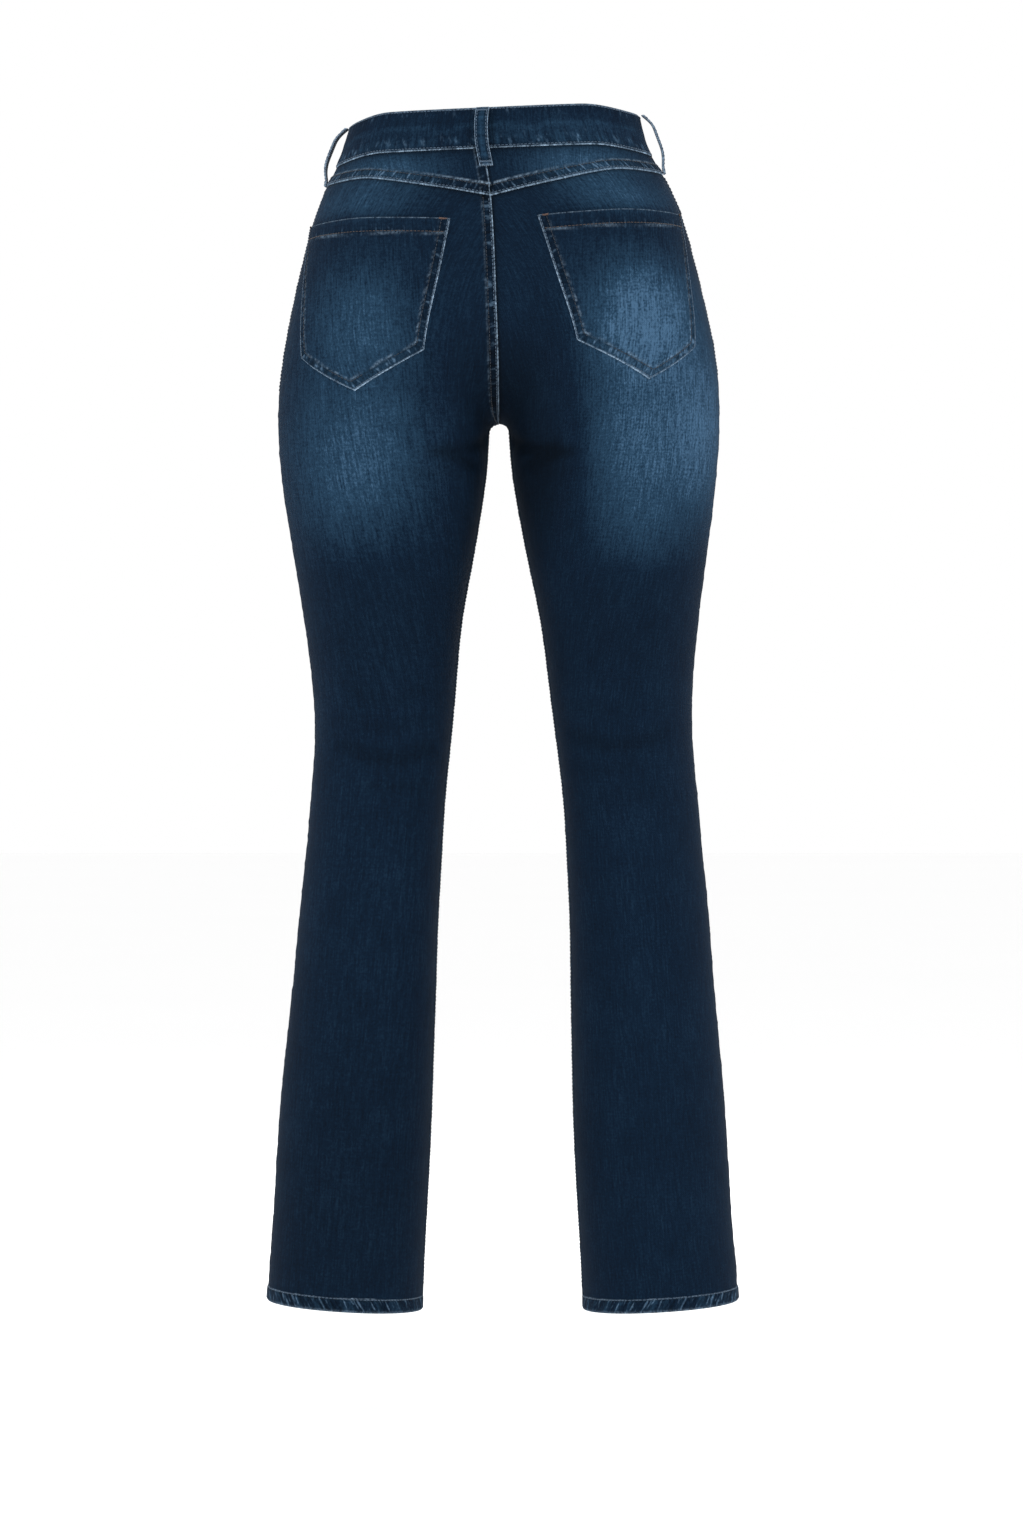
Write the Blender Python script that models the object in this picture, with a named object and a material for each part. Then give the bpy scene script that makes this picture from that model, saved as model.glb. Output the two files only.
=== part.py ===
"""High-rise slim bootcut jeans in denim, hollow, in the shape they have when worn.

Metres, +Z up. The origin is the middle of the waist opening, level with the waistband's top
edge. The front faces -Y and the wearer's left is +X.

The garment is first made upright and even on both sides: at each height one leg has a section
with four measured sides (SECTIONS), and the two legs and the fork between them blend into one
smooth skin, found as the zero of depth(). Every cloth piece is a grid of points on that skin,
or beside it, with a second grid moved inwards for the back of its wall. stance() then gives
every point the slight lean, turn and sway of the worn pair.
"""

import math

import bmesh
import bpy
import numpy as np
from mathutils import Matrix, Vector

MM = 0.001
BACK, FRONT = 1, -1
LEFT, RIGHT = 1, -1

# Cloth
DENIM = 1.5 * MM
SEAM_GAP = 0.3 * MM
LAY_GAP = 0.6 * MM              # under a piece that lies on another, whose facets differ

# Heights of the seams, from the waistband's top edge down
BAND_TOP = 2 * MM
BAND_SEAM = -35 * MM
YOKE_AT_BACK = -78 * MM
YOKE_AT_SIDE = -52 * MM
YOKE_CURVE = 2
CROTCH = -270.6 * MM
HEM_SEAM = -1053 * MM
HEM_EDGE = -1066 * MM

# The skin
ROUNDNESS = 2.1                 # of a leg's section: 2 is an ellipse
CROTCH_Y = -2 * MM
FORK_HEIGHT = 100 * MM          # height of the fork's underside curve above the crotch
FORK_FLAT = 0.3                 # share of the way to a leg's middle where the fork is level

OVAL_FROM = -150 * MM           # from here up the section turns into one oval
OVAL_ABOVE = -30 * MM           # and above here it is one

# Height, then how far one leg's section reaches: outwards, inwards, to the front, to the back (mm).
# Above the crotch the two sections overlap, and the inner side passes the middle.
SECTIONS = (
    (10, 128.5, -28.5, -87.5, 87.5),
    (0, 131, -28, -89, 89),
    (-27, 139, -26, -94, 94),
    (-60, 155.5, -22, -99, 103),
    (-87, 166, -17, -102, 110),
    (-114, 173.5, -12, -103, 116),
    (-141, 180, -8, -104, 121),
    (-168, 186, -4, -104, 124),
    (-195, 191.5, 0, -103, 125),
    (-222, 196, 3, -103, 122),
    (-250, 198.5, 6, -103, 115),
    (-277, 199, 9.5, -104, 106),
    (-304, 197.7, 11.3, -105, 98.5),
    (-331, 195, 14.5, -105, 93),
    (-358, 191.4, 19, -104, 88),
    (-395, 186, 25.8, -101, 81),
    (-449, 178.3, 36.2, -95, 72),
    (-503, 172.4, 42.5, -89, 64),
    (-557, 171, 48.4, -82, 59),
    (-612, 175, 54.3, -76, 65),
    (-666, 179.6, 57.5, -72.5, 71),
    (-720, 185, 60.2, -70, 76),
    (-775, 189.6, 61.5, -68, 78),
    (-829, 195, 62.9, -67, 79),
    (-883, 200, 64.3, -67, 80),
    (-938, 203.6, 66.5, -67, 80.5),
    (-992, 206.8, 69.7, -67.5, 81.5),
    (-1046, 210.9, 72.4, -69, 83),
    (-1080, 213, 73, -70, 84),
)
# Height, then how far back and how far forward the rise seam runs (mm)
RISE = (
    (10, 88, -88),
    (-60, 100, -96),
    (-110, 107, -100),
    (-160, 111, -101),
    (-200, 110, -99),
    (-240, 103, -95),
    (-280, 94, -90),
)
# Height, then how softly the two legs and the fork run into one another (mm)
BLEND = ((0, 34), (-100, 34), (-180, 30), (-230, 18), (-262, 10), (-300, 9), (-1100, 8))

# Height, then how far the worn pair sways towards +X (mm), leans (drop for each metre of +X)
# and turns (degrees about +Z)
STANCE = (
    (10, 0, 30, -6.3),
    (-27, 1.2, 30, -5.8),
    (-60, -0.3, 31, -3.4),
    (-87, -1.3, 32, -2.2),
    (-168, -2.3, 36, -0.6),
    (-223, -3.1, 39, 0),
    (-277, -3.6, 30, 0),
    (-395, -4.9, 6, 0),
    (-470, -6.1, 0, 0),
    (-557, -7.8, 0, 0),
    (-883, -6.8, 0, 0),
    (-1100, -7.2, 0, 0),
)
HEM_SLOPE = 0.063               # the hems rise outwards
HEM_SLOPE_TOP = -900 * MM
LEG_MIDDLE = 142 * MM

# Behind, the waist is drawn up by WAIST_LIFT at the middle and by LIFT_ASIDE more towards the sides
WAIST_LIFT = 2.2 * MM
LIFT_ASIDE = 5 * MM
LIFT_EDGE = 0.35                # share of the half width over which it fades out at the side
LIFT_FROM = -130 * MM
LIFT_ABOVE = -60 * MM

# Side, face, start, bend and end of each fold as seen (x, z), its half width and depth (mm)
FOLDS = (
    (LEFT, BACK, (6, -280), (26, -297), (54, -295), 5.5, 2.6),
    (LEFT, BACK, (20, -316), (36, -305), (68, -300), 5.5, 2.4),
    (RIGHT, BACK, (6, -281), (30, -300), (58, -294), 5.5, 2.8),
    (RIGHT, BACK, (24, -315), (44, -307), (72, -302), 5.5, 2.2),
    (LEFT, FRONT, (10, -262), (52, -236), (104, -222), 7, 2.2),
    (RIGHT, FRONT, (10, -262), (48, -240), (98, -229), 7, 2.4),
    (LEFT, FRONT, (14, -286), (54, -276), (92, -270), 6, 1.8),
    (RIGHT, FRONT, (14, -288), (58, -280), (98, -272), 6, 1.8),
    (LEFT, BACK, (60, -560), (104, -574), (150, -556), 8, 1.8),
    (RIGHT, BACK, (58, -548), (100, -562), (148, -548), 8, 1.8),
)
FOLD_TAPER = 12 * MM
FOLD_ROUND_SIDE = 25 * MM       # from a leg's middle plane, where a fold fades in

# How finely the panels are drawn
PANEL_COLUMNS = 13
LEG_ROWS = 15
INSEAM_ROWS = 10
RISE_ROWS = 12
SEAT_LEVELS = (-188, -161, -134, -107, -94, -80, -65)   # rows above the fork, at the side seam (mm)
LEG_TOP = -335 * MM             # rows below this are level
FORK_SIDE = -215 * MM           # the fork's highest row, at the side seam
FORK_CENTRE = -205 * MM         # and at the rise seam
FORK_LIFT = 50 * MM             # so high above a fork row lies the point it is seen from

# Waistband
BAND_PROUD = 1.2 * MM
BAND_THICK = 3 * MM
BAND_COLUMNS = 64
BAND_LAP = 0.03                 # of a quarter round, past centre front
BAND_UNDERLAP = 0.30
UNDERLAP_RAMP = 0.12

# Front pocket mouth, fly and button
MOUTH_AT_BAND = 72 * MM         # from centre front, along the cloth
MOUTH_AT_SIDE = -80 * MM
MOUTH_INSET = 3.2 * MM
FACING_LEVELS = (-94, -87, -80, -72, -65, -57, -50, -42)   # its rows, at the side seam (mm)
FLY_WIDTH = 38 * MM
FLY_END = -196 * MM
FLY_THICK = 1.2 * MM
BUTTON_RADIUS = 8.5 * MM
BUTTON_HEIGHT = 3 * MM
BUTTON_FROM_CENTRE = 16 * MM
BUTTON_Z = -16 * MM

# Back pockets: name of the corner, distance from centre back along the cloth, height (mm)
POCKET_CORNERS = {
    LEFT: {
        "top_in": (37, -97),
        "top_out": (203, -91),
        "low_in": (68, -211),
        "point": (142, -245),
        "low_out": (191, -212),
    },
    RIGHT: {
        "top_in": (40, -97),
        "top_out": (201, -92),
        "low_in": (73, -208),
        "point": (148, -244),
        "low_out": (192, -216),
    },
}
POCKET_LIFT = 1.2 * MM
POCKET_THICK = 1.4 * MM

# Belt loops: height down the loop and how far its underside stands off the skin (mm)
LOOP_PATH = (
    (1, 2.2),
    (-3, 4.6),
    (-9, 7.4),
    (-17, 8.6),
    (-27, 8.8),
    (-36, 7.8),
    (-43, 5),
    (-48, 2.2),
    (-52, 1),
)
LOOP_BULGE_ASIDE = 1.25         # the other loops stand off more than the one at centre back
FRONT_LOOP_FROM_CENTRE = 62 * MM
LOOP_WIDTH = 12 * MM
LOOP_THICK = 2.2 * MM

# Hems
HEM_PROUD = 1.0 * MM
HEM_THICK = 3.2 * MM
HEM_COLUMNS = 44


def ease(share):
    """A share between 0 and 1 that starts and ends softly."""
    share = np.clip(share, 0, 1)
    return share * share * (3 - 2 * share)


def unit(vectors):
    """Vectors of length 1."""
    return vectors / np.linalg.norm(vectors, axis=-1, keepdims=True)


def curve(table, column, scale=MM):
    """The smooth curve (a natural cubic spline) of one column of a table over its heights."""
    rows = sorted(table)
    at = np.array([row[0] for row in rows], float) * MM
    value = np.array([row[column] for row in rows], float) * scale
    step = np.diff(at)
    slope = np.diff(value) / step
    matrix = np.eye(len(at))
    right = np.zeros(len(at))
    for i in range(1, len(at) - 1):
        matrix[i, i - 1] = step[i - 1]
        matrix[i, i] = 2 * (step[i - 1] + step[i])
        matrix[i, i + 1] = step[i]
        right[i] = 6 * (slope[i] - slope[i - 1])
    bend = np.linalg.solve(matrix, right)

    def evaluate(height):
        height = np.clip(height, at[0], at[-1])
        i = np.clip(np.searchsorted(at, height) - 1, 0, len(step) - 1)
        below = height - at[i]
        above = at[i + 1] - height
        cubic = (bend[i] * above**3 + bend[i + 1] * below**3) / (6 * step[i])
        start = (value[i] / step[i] - bend[i] * step[i] / 6) * above
        end = (value[i + 1] / step[i] - bend[i + 1] * step[i] / 6) * below
        return cubic + start + end

    return evaluate


OUTER, INNER, FORE, REAR = (curve(SECTIONS, column) for column in (1, 2, 3, 4))
RISE_REAR, RISE_FORE = (curve(RISE, column) for column in (1, 2))
SOFTNESS = curve(BLEND, 1)
SWAY = curve(STANCE, 1)
LEAN = curve(STANCE, 2)
TURN = curve(STANCE, 3, math.radians(1))


def leg_axis(z):
    """The middle of a leg's section at height z."""
    return (OUTER(z) + INNER(z)) / 2, (FORE(z) + REAR(z)) / 2


def leg_radii(z):
    """Half the width and half the depth of a leg's section at height z."""
    return (OUTER(z) - INNER(z)) / 2, (REAR(z) - FORE(z)) / 2


def outside(across, along, half_width, half_depth):
    """How far a place lies outside a rounded section, from its middle."""
    share = np.abs(across / half_width) ** ROUNDNESS + np.abs(along / half_depth) ** ROUNDNESS
    return (share ** (1 / ROUNDNESS) - 1) * np.minimum(half_width, half_depth)


def depth(points):
    """How far points lie outside the skin (above 0) or inside it (below 0)."""
    x = np.abs(points[..., 0])
    y = points[..., 1]
    z = points[..., 2]
    middle_x, middle_y = leg_axis(z)
    half_width, half_depth = leg_radii(z)
    leg = outside(x - middle_x, y - middle_y, half_width, half_depth)
    reach = np.where(y > CROTCH_Y, RISE_REAR(z) - CROTCH_Y, CROTCH_Y - RISE_FORE(z))
    under = np.clip((CROTCH + FORK_HEIGHT - z) / FORK_HEIGHT, 0, None)
    aside = np.clip(x / middle_x - FORK_FLAT, 0, None)
    fork = (np.sqrt(((y - CROTCH_Y) / reach) ** 2 + under**2 + aside**2) - 1) * FORK_HEIGHT
    soft = SOFTNESS(z)
    mix = np.clip(0.5 + 0.5 * (fork - leg) / soft, 0, 1)
    seat = fork + (leg - fork) * mix - soft * mix * (1 - mix)
    waist = outside(x, y - middle_y, OUTER(z), half_depth)
    high = ease((z - OVAL_FROM) / (OVAL_ABOVE - OVAL_FROM))
    return seat + (waist - seat) * high


def outward(points, step=0.2 * MM):
    """The skin's outward direction at points."""
    rise = [depth(points + step * axis) - depth(points - step * axis) for axis in np.eye(3)]
    return unit(np.stack(rise, -1))


def cast(origin, target, reach=3.0, halvings=34):
    """Where the way from origin through target meets the skin, on the same side of the middle."""
    way = target - origin
    inwards = way[..., 0] < -1e-9
    to_middle = origin[..., 0] / np.where(inwards, -way[..., 0], 1)
    far = np.where(inwards, np.minimum(reach, to_middle), reach)
    near = np.zeros_like(far)
    for _ in range(halvings):
        middle = (near + far) / 2
        inside = depth(origin + middle[..., None] * way) < 0
        near = np.where(inside, middle, near)
        far = np.where(inside, far, middle)
    return origin + near[..., None] * way


def lay(edge, z, across, face, lift=0.0):
    """Points of the skin at heights z.

    edge holds the centre seam's or inseam's point of each row, and across runs from 0 there to
    1 at the side seam. Each point is cast from the leg's middle, lift above it near the edge.
    """
    edge_x, edge_y = leg_axis(edge[..., 2])
    start = np.arctan2(face * (edge[..., 1] - edge_y), edge[..., 0] - edge_x)
    start = np.where(start <= 0, math.pi, start)

    def section(angle, height):
        middle_x, middle_y = leg_axis(height)
        half_width, half_depth = leg_radii(height)
        aside = np.abs(np.cos(angle) / half_width) ** ROUNDNESS
        ahead = np.abs(np.sin(angle) / half_depth) ** ROUNDNESS
        radius = (aside + ahead) ** (-1 / ROUNDNESS)
        x = middle_x + radius * np.cos(angle)
        y = middle_y + face * radius * np.sin(angle)
        return np.stack(np.broadcast_arrays(x, y, height), -1)

    target = section(start * (1 - across), z)
    target = target + (edge - section(start, edge[..., 2])) * ((1 - across) ** 3)[..., None]
    seen_from = z + lift * (1 - across) ** 2
    origin = np.stack([*leg_axis(seen_from), seen_from], -1)
    return cast(origin, target)


def inseam(z):
    """The inseam's points at heights z, below the crotch."""
    return np.stack([INNER(z), leg_axis(z)[1], z], -1)


def rise(z, face):
    """The centre seam's points at heights z, behind or in front."""
    z = np.asarray(z, float)
    middle = np.stack([0 * z, CROTCH_Y + 0 * z, z], -1)
    ahead = np.stack([0 * z, face * 50 * MM + 0 * z, 0 * z], -1)
    return cast(middle, middle + ahead)


def even(line, count):
    """count points at even distances along a line of points."""
    run = np.concatenate([[0], np.cumsum(np.linalg.norm(np.diff(line, axis=0), axis=1))])
    share = np.linspace(0, run[-1], count)
    return np.stack([np.interp(share, run, line[:, axis]) for axis in range(3)], -1)


def fork_edge(face, inseam_rows, rise_rows, samples=240):
    """The seam from the inseam at LEG_TOP through the crotch point up to FORK_CENTRE."""
    turn = np.linspace(0, 1, samples)[:, None]
    crotch = np.array([0, CROTCH_Y, CROTCH])
    hub = np.array([leg_axis(CROTCH)[0], CROTCH_Y, CROTCH + FORK_LIFT])
    low = unit(inseam(LEG_TOP) - hub)
    high = unit(crotch - hub)
    legs = cast(hub + 0 * turn, hub + (low * (1 - turn) + high * turn) * 100 * MM)
    centre = crotch + [0, 0, FORK_HEIGHT]
    top = rise(FORK_CENTRE, face) - centre
    angle = np.linspace(-math.pi / 2, math.atan2(top[2], abs(top[1])), samples)
    way = np.stack([0 * angle, face * np.cos(angle), np.sin(angle)], -1) * 100 * MM
    seat = cast(centre + 0 * way, centre + way)
    return np.concatenate([even(legs, inseam_rows + 1), even(seat, rise_rows + 1)[1:]])


def fork_top(across):
    """Height of the fork's highest row."""
    return FORK_CENTRE + (FORK_SIDE - FORK_CENTRE) * ease(across)


def fork_rows(face, across, inseam_rows, rise_rows):
    """The rows that fan out from the crotch, where two legs become one seat."""
    edge = fork_edge(face, inseam_rows, rise_rows)[:, None, :]
    share = np.linspace(0, 1, inseam_rows + rise_rows + 1)[:, None]
    at_crotch = inseam_rows / (inseam_rows + rise_rows)
    side = LEG_TOP + (FORK_SIDE - LEG_TOP) * share
    z = edge[..., 2] + (side - edge[..., 2]) * ease(across)
    nearness = np.minimum(share / at_crotch, (1 - share) / (1 - at_crotch))
    return lay(edge, z, across + 0 * z, face, FORK_LIFT * ease(nearness))


def panel(face, across, top):
    """A leg panel's rows of points, from the hem seam to the line whose heights top gives."""
    low = np.linspace(HEM_SEAM, LEG_TOP, LEG_ROWS + 1)[:-1, None] + 0 * across
    legs = lay(inseam(low[:, :1]), low, across + 0 * low, face)
    fork = fork_rows(face, across, INSEAM_ROWS, RISE_ROWS)
    levels = np.array(SEAT_LEVELS) * MM
    levels = np.append(levels[levels < top[-1] - MM], top[-1])
    share = (levels[:, None] - FORK_SIDE) / (top[-1] - FORK_SIDE)
    seat = seat_rows(fork_top(across) * (1 - share) + top * share, across, face)
    return np.concatenate([legs, fork, seat])


def seat_rows(z, across, face):
    """Rows of points above the fork, at heights z that may differ along a row."""
    return lay(rise(z[:, :1], face), z, across + 0 * z, face)


def level(z, across, face):
    """Points of the skin above the crotch at heights z and shares across."""
    z, across, face = np.broadcast_arrays(np.asarray(z, float), across, face)
    return lay(rise(z, face), z, across, face)


def cloth_lengths(z, face, samples=121):
    """Shares across one row, and how far along the cloth each lies from the centre seam."""
    across = np.linspace(0, 1, samples)
    row = level(z, across, face)
    run = np.concatenate([[0], np.cumsum(np.linalg.norm(np.diff(row, axis=0), axis=1))])
    return across, run


def share_at(distance, z, face):
    """The share across at a distance along the cloth from the centre seam, for arrays of points."""
    distance, z = np.broadcast_arrays(np.asarray(distance, float), z)
    heights = np.linspace(z.min() - MM, z.max() + MM, 12)
    shares = []
    for height in heights:
        across, run = cloth_lengths(height, face)
        shares.append(np.interp(distance.ravel(), run, across))
    shares = np.array(shares)
    place = (z.ravel() - heights[0]) / (heights[1] - heights[0])
    row = np.clip(place.astype(int), 0, len(heights) - 2)
    part = place - row
    column = np.arange(distance.size)
    return (shares[row, column] * (1 - part) + shares[row + 1, column] * part).reshape(distance.shape)


def folds(points, side):
    """How far the worn cloth's folds move points of one side outwards."""
    total = np.zeros(points.shape[:-1])
    flat = points[..., [0, 2]]
    from_middle = points[..., 1] - leg_axis(points[..., 2])[1]
    t = np.linspace(0, 1, 41)[:, None]
    for fold_side, face, start, bend, end, width, deep in FOLDS:
        ends = (np.array(start) * (1 - t) + np.array(end) * t) * MM
        bow = (np.array(bend) - (np.array(start) + np.array(end)) / 2) * 4 * MM
        path = ends + bow * t * (1 - t)
        gap = np.linalg.norm(flat[..., None, :] - path, axis=-1)
        nearest = gap.argmin(-1)
        length = np.linalg.norm(path[-1] - path[0])
        from_end = np.minimum(nearest, 40 - nearest) / 40 * length
        fade = ease(0.25 + from_end / FOLD_TAPER) * ease(face * from_middle / FOLD_ROUND_SIDE)
        hollow = np.exp(-((gap.min(-1) / (width * MM)) ** 2))
        total -= deep * MM * fade * hollow * (side == fold_side)
    return total


def stance(points):
    """The worn pair's sway, lean and turn, and the slope of its hems."""
    x, y, z = points[..., 0], points[..., 1], points[..., 2]
    turn = TURN(z)
    turned_x = x * np.cos(turn) - y * np.sin(turn)
    turned_y = x * np.sin(turn) + y * np.cos(turn)
    low = ease((HEM_SLOPE_TOP - z) / (HEM_SLOPE_TOP - HEM_EDGE))
    slope = HEM_SLOPE * low * (np.abs(x) - LEG_MIDDLE)
    aside = np.abs(x) / OUTER(z)
    lift = (WAIST_LIFT + LIFT_ASIDE * aside**2) * ease((1 - aside) / LIFT_EDGE) * (y > 0)
    lift = lift * ease((z - LIFT_FROM) / (LIFT_ABOVE - LIFT_FROM))
    return np.stack([turned_x + SWAY(z), turned_y, z - LEAN(z) * turned_x + slope + lift], -1)


def dressed(grid, height, side):
    """Points of the worn garment, height outside the skin's grid, on one side of the body."""
    points = grid + outward(grid) * (np.asarray(height) + folds(grid, side))[..., None]
    points[..., 0] *= side
    return stance(points)


def square_step(line, beside):
    """Directions from a line of points towards the line beside it, square to the line."""
    along = unit(np.gradient(line, axis=0))
    step = beside - line
    return unit(step - (step * along).sum(-1, keepdims=True) * along)


def set_back(grid, by=SEAM_GAP / 2):
    """A grid whose border is drawn in a little, for the gap at its seams."""
    drawn = grid.copy()
    for first, second in ((0, 1), (-1, -2)):
        drawn[first] += by * square_step(grid[first], grid[second])
        drawn[:, first] += by * square_step(grid[:, first], grid[:, second])
    return drawn


def finish(name, colour, roughness, metallic=0.0):
    """A material of one colour, given as sRGB shares."""
    material = bpy.data.materials.new(name)
    material.use_nodes = True
    shader = material.node_tree.nodes["Principled BSDF"]
    shader.inputs["Base Color"].default_value = (*(channel**2.2 for channel in colour), 1)
    shader.inputs["Roughness"].default_value = roughness
    shader.inputs["Metallic"].default_value = metallic
    return material


def add_object(name, mesh, material, root):
    """Puts a mesh into the scene under the root."""
    mesh.materials.append(material)
    mesh.shade_smooth()
    mesh.set_sharp_from_angle(angle=math.radians(40))
    piece = bpy.data.objects.new(name, mesh)
    piece.parent = root
    bpy.context.scene.collection.objects.link(piece)
    return piece


def wall(name, outer, inner, material, root, ring=False):
    """One closed piece between an outer and an inner grid; a ring's last column meets its first."""
    rows, columns = outer.shape[:2]
    index = np.arange(rows * columns).reshape(rows, columns)
    if ring:
        index = np.concatenate([index, index[:, :1]], axis=1)
    back = index + rows * columns
    faces = []
    for i in range(rows - 1):
        for j in range(index.shape[1] - 1):
            square = ((i, j), (i, j + 1), (i + 1, j + 1), (i + 1, j))
            faces.append([index[at] for at in square])
            faces.append([back[at] for at in reversed(square)])
    borders = [(index[0], back[0]), (index[-1, ::-1], back[-1, ::-1])]
    if not ring:
        borders += [(index[::-1, 0], back[::-1, 0]), (index[:, -1], back[:, -1])]
    for front, behind in borders:
        for k in range(len(front) - 1):
            faces.append([front[k + 1], front[k], behind[k], behind[k + 1]])
    mesh = bpy.data.meshes.new(name)
    mesh.from_pydata(np.concatenate([outer.reshape(-1, 3), inner.reshape(-1, 3)]).tolist(), [], faces)
    shape = bmesh.new()
    shape.from_mesh(mesh)
    bmesh.ops.recalc_face_normals(shape, faces=shape.faces)
    shape.to_mesh(mesh)
    shape.free()
    return add_object(name, mesh, material, root)


def cloth(name, grid, side, material, root, lowest=-DENIM, highest=0.0, ring=False):
    """A wall of cloth between two heights off the skin's grid."""
    lowest = np.broadcast_to(lowest, grid.shape[:-1])
    highest = np.broadcast_to(highest, grid.shape[:-1])
    return wall(name, dressed(grid, highest, side), dressed(grid, lowest, side), material, root, ring)


def side_name(side):
    """The wearer's left or right."""
    return "left" if side == LEFT else "right"


def yoke_line(across):
    """Height of the seam between yoke and back panel."""
    return YOKE_AT_SIDE + (YOKE_AT_BACK - YOKE_AT_SIDE) * (1 - across) ** YOKE_CURVE


def mouth_line(count):
    """The front pocket's mouth, from the band to the side seam: shares across and heights."""
    turn = np.linspace(0, math.pi / 2, count)
    z = BAND_SEAM + (MOUTH_AT_SIDE - BAND_SEAM) * np.sin(turn)
    full = np.array([cloth_lengths(height, FRONT)[1][-1] for height in z])
    distance = full - (full[0] - MOUTH_AT_BAND) * np.cos(turn)
    return share_at(distance, z, FRONT), z


def mouth_nearness(across, z):
    """0 in the corner of band and side seam, 1 along the mouth."""
    start = share_at(np.array([MOUTH_AT_BAND]), np.array([BAND_SEAM]), FRONT)[0]
    return np.hypot((1 - across) / (1 - start), (z - BAND_SEAM) / (MOUTH_AT_SIDE - BAND_SEAM))


def make_back(side, denim, root):
    """The yoke and the back panel of one side."""
    across = np.linspace(0, 1, PANEL_COLUMNS)
    rows = np.linspace(0, 1, 4)[:, None]
    yoke = seat_rows(yoke_line(across) * (1 - rows) + BAND_SEAM * rows, across, BACK)
    leg = panel(BACK, across, yoke_line(across))
    cloth(f"yoke_{side_name(side)}", set_back(yoke), side, denim, root)
    cloth(f"back_leg_{side_name(side)}", set_back(leg), side, denim, root)


def make_front(side, denim, root):
    """The front panel of one side, with its pocket mouth, and the facing inside that."""
    mouth_across, mouth_z = mouth_line(31)
    start = mouth_across[0]
    across = np.concatenate([np.linspace(0, start, 6), np.linspace(start, 1, 9)[1:]])
    top = np.interp(across, mouth_across, mouth_z)
    cloth(f"front_leg_{side_name(side)}", set_back(panel(FRONT, across, top)), side, denim, root)
    across = np.linspace(start - 0.1, 1, 12)
    z = np.append(np.array(FACING_LEVELS) * MM, BAND_SEAM)[:, None]
    facing = set_back(level(z, across, FRONT))
    sunk = -MOUTH_INSET * ease((mouth_nearness(across, z) - 0.3) / 0.45)
    cloth(f"pocket_facing_{side_name(side)}", facing, side, denim, root, sunk - DENIM, sunk)


def make_fly(denim, root):
    """The doubled edge of the fly on the wearer's left front, rounded to the centre below."""
    bend = np.linspace(0, math.radians(68), 7)
    bottom = FLY_END + FLY_WIDTH
    z = np.concatenate([np.linspace(BAND_SEAM, bottom, 7)[:-1], bottom - FLY_WIDTH * np.sin(bend)])
    width = np.concatenate([np.full(6, FLY_WIDTH), FLY_WIDTH * np.cos(bend)])
    distance = np.linspace(0, 1, 5) * width[:, None]
    grid = set_back(level(z[:, None], share_at(distance, z[:, None], FRONT), FRONT))
    cloth("fly_flap", grid, LEFT, denim, root, LAY_GAP, LAY_GAP + FLY_THICK)


def make_back_pocket(side, denim, root):
    """A five-cornered patch pocket, laid out in lengths along the cloth."""
    corner = {name: np.array(place) * MM for name, place in POCKET_CORNERS[side].items()}
    across = np.linspace(0, 1, 11)[:, None]
    down = np.linspace(0, 1, 10)[:, None, None]
    top = corner["top_in"] * (1 - across) + corner["top_out"] * across
    low_corners = np.array([corner["low_in"], corner["point"], corner["low_out"]])
    low = np.stack([np.interp(across[:, 0], [0, 0.5, 1], column) for column in low_corners.T], -1)
    place = top * (1 - down) + low * down
    grid = level(place[..., 1], share_at(place[..., 0], place[..., 1], BACK), BACK)
    highest = POCKET_LIFT + POCKET_THICK
    cloth(f"back_pocket_{side_name(side)}", grid, side, denim, root, POCKET_LIFT, highest)


def around(quarter, z):
    """Points round the waist and the side of each, for quarters from centre back over the left."""
    quarter, z = np.broadcast_arrays(np.mod(quarter, 4), z)
    face = np.where((quarter < 1) | (quarter >= 3), BACK, FRONT)
    side = np.where(quarter < 2, LEFT, RIGHT)
    return level(z, 1 - np.abs(np.mod(quarter, 2) - 1), face), side


def make_waistband(denim, root):
    """One band from its lapped end at centre front round the back to its end under the lap."""
    quarter = np.linspace(2 + BAND_LAP, -2 - BAND_UNDERLAP, BAND_COLUMNS)
    z = np.linspace(BAND_SEAM + SEAM_GAP / 2, BAND_TOP, 3)[:, None]
    grid, side = around(quarter, z)
    under = -(BAND_THICK + LAY_GAP) * ease((BAND_LAP + UNDERLAP_RAMP - 2 - quarter) / UNDERLAP_RAMP)
    high = BAND_PROUD + under + 0 * z
    cloth("waistband", grid, side, denim, root, high - BAND_THICK, high)


def make_belt_loop(name, quarter, bulge, denim, root):
    """A loop sewn to the band's top and below the band, standing off the band between."""
    z = np.array([row[0] for row in LOOP_PATH])[:, None] * MM
    off = np.array([row[1] for row in LOOP_PATH])[:, None] * MM * bulge
    beside = LOOP_WIDTH / 2 / cloth_lengths(BAND_SEAM, BACK)[1][-1]
    centre, side = around(quarter + beside * np.array([-1, 0, 1]), z)
    strip = []
    for height in (off + LOOP_THICK, off):
        line = dressed(centre, height + 0 * side, side)
        middle = line[:, 1:2]
        line[:, ::2] = middle + unit(line[:, ::2] - middle) * LOOP_WIDTH / 2
        strip.append(line)
    wall(name, strip[0], strip[1], denim, root)


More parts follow.
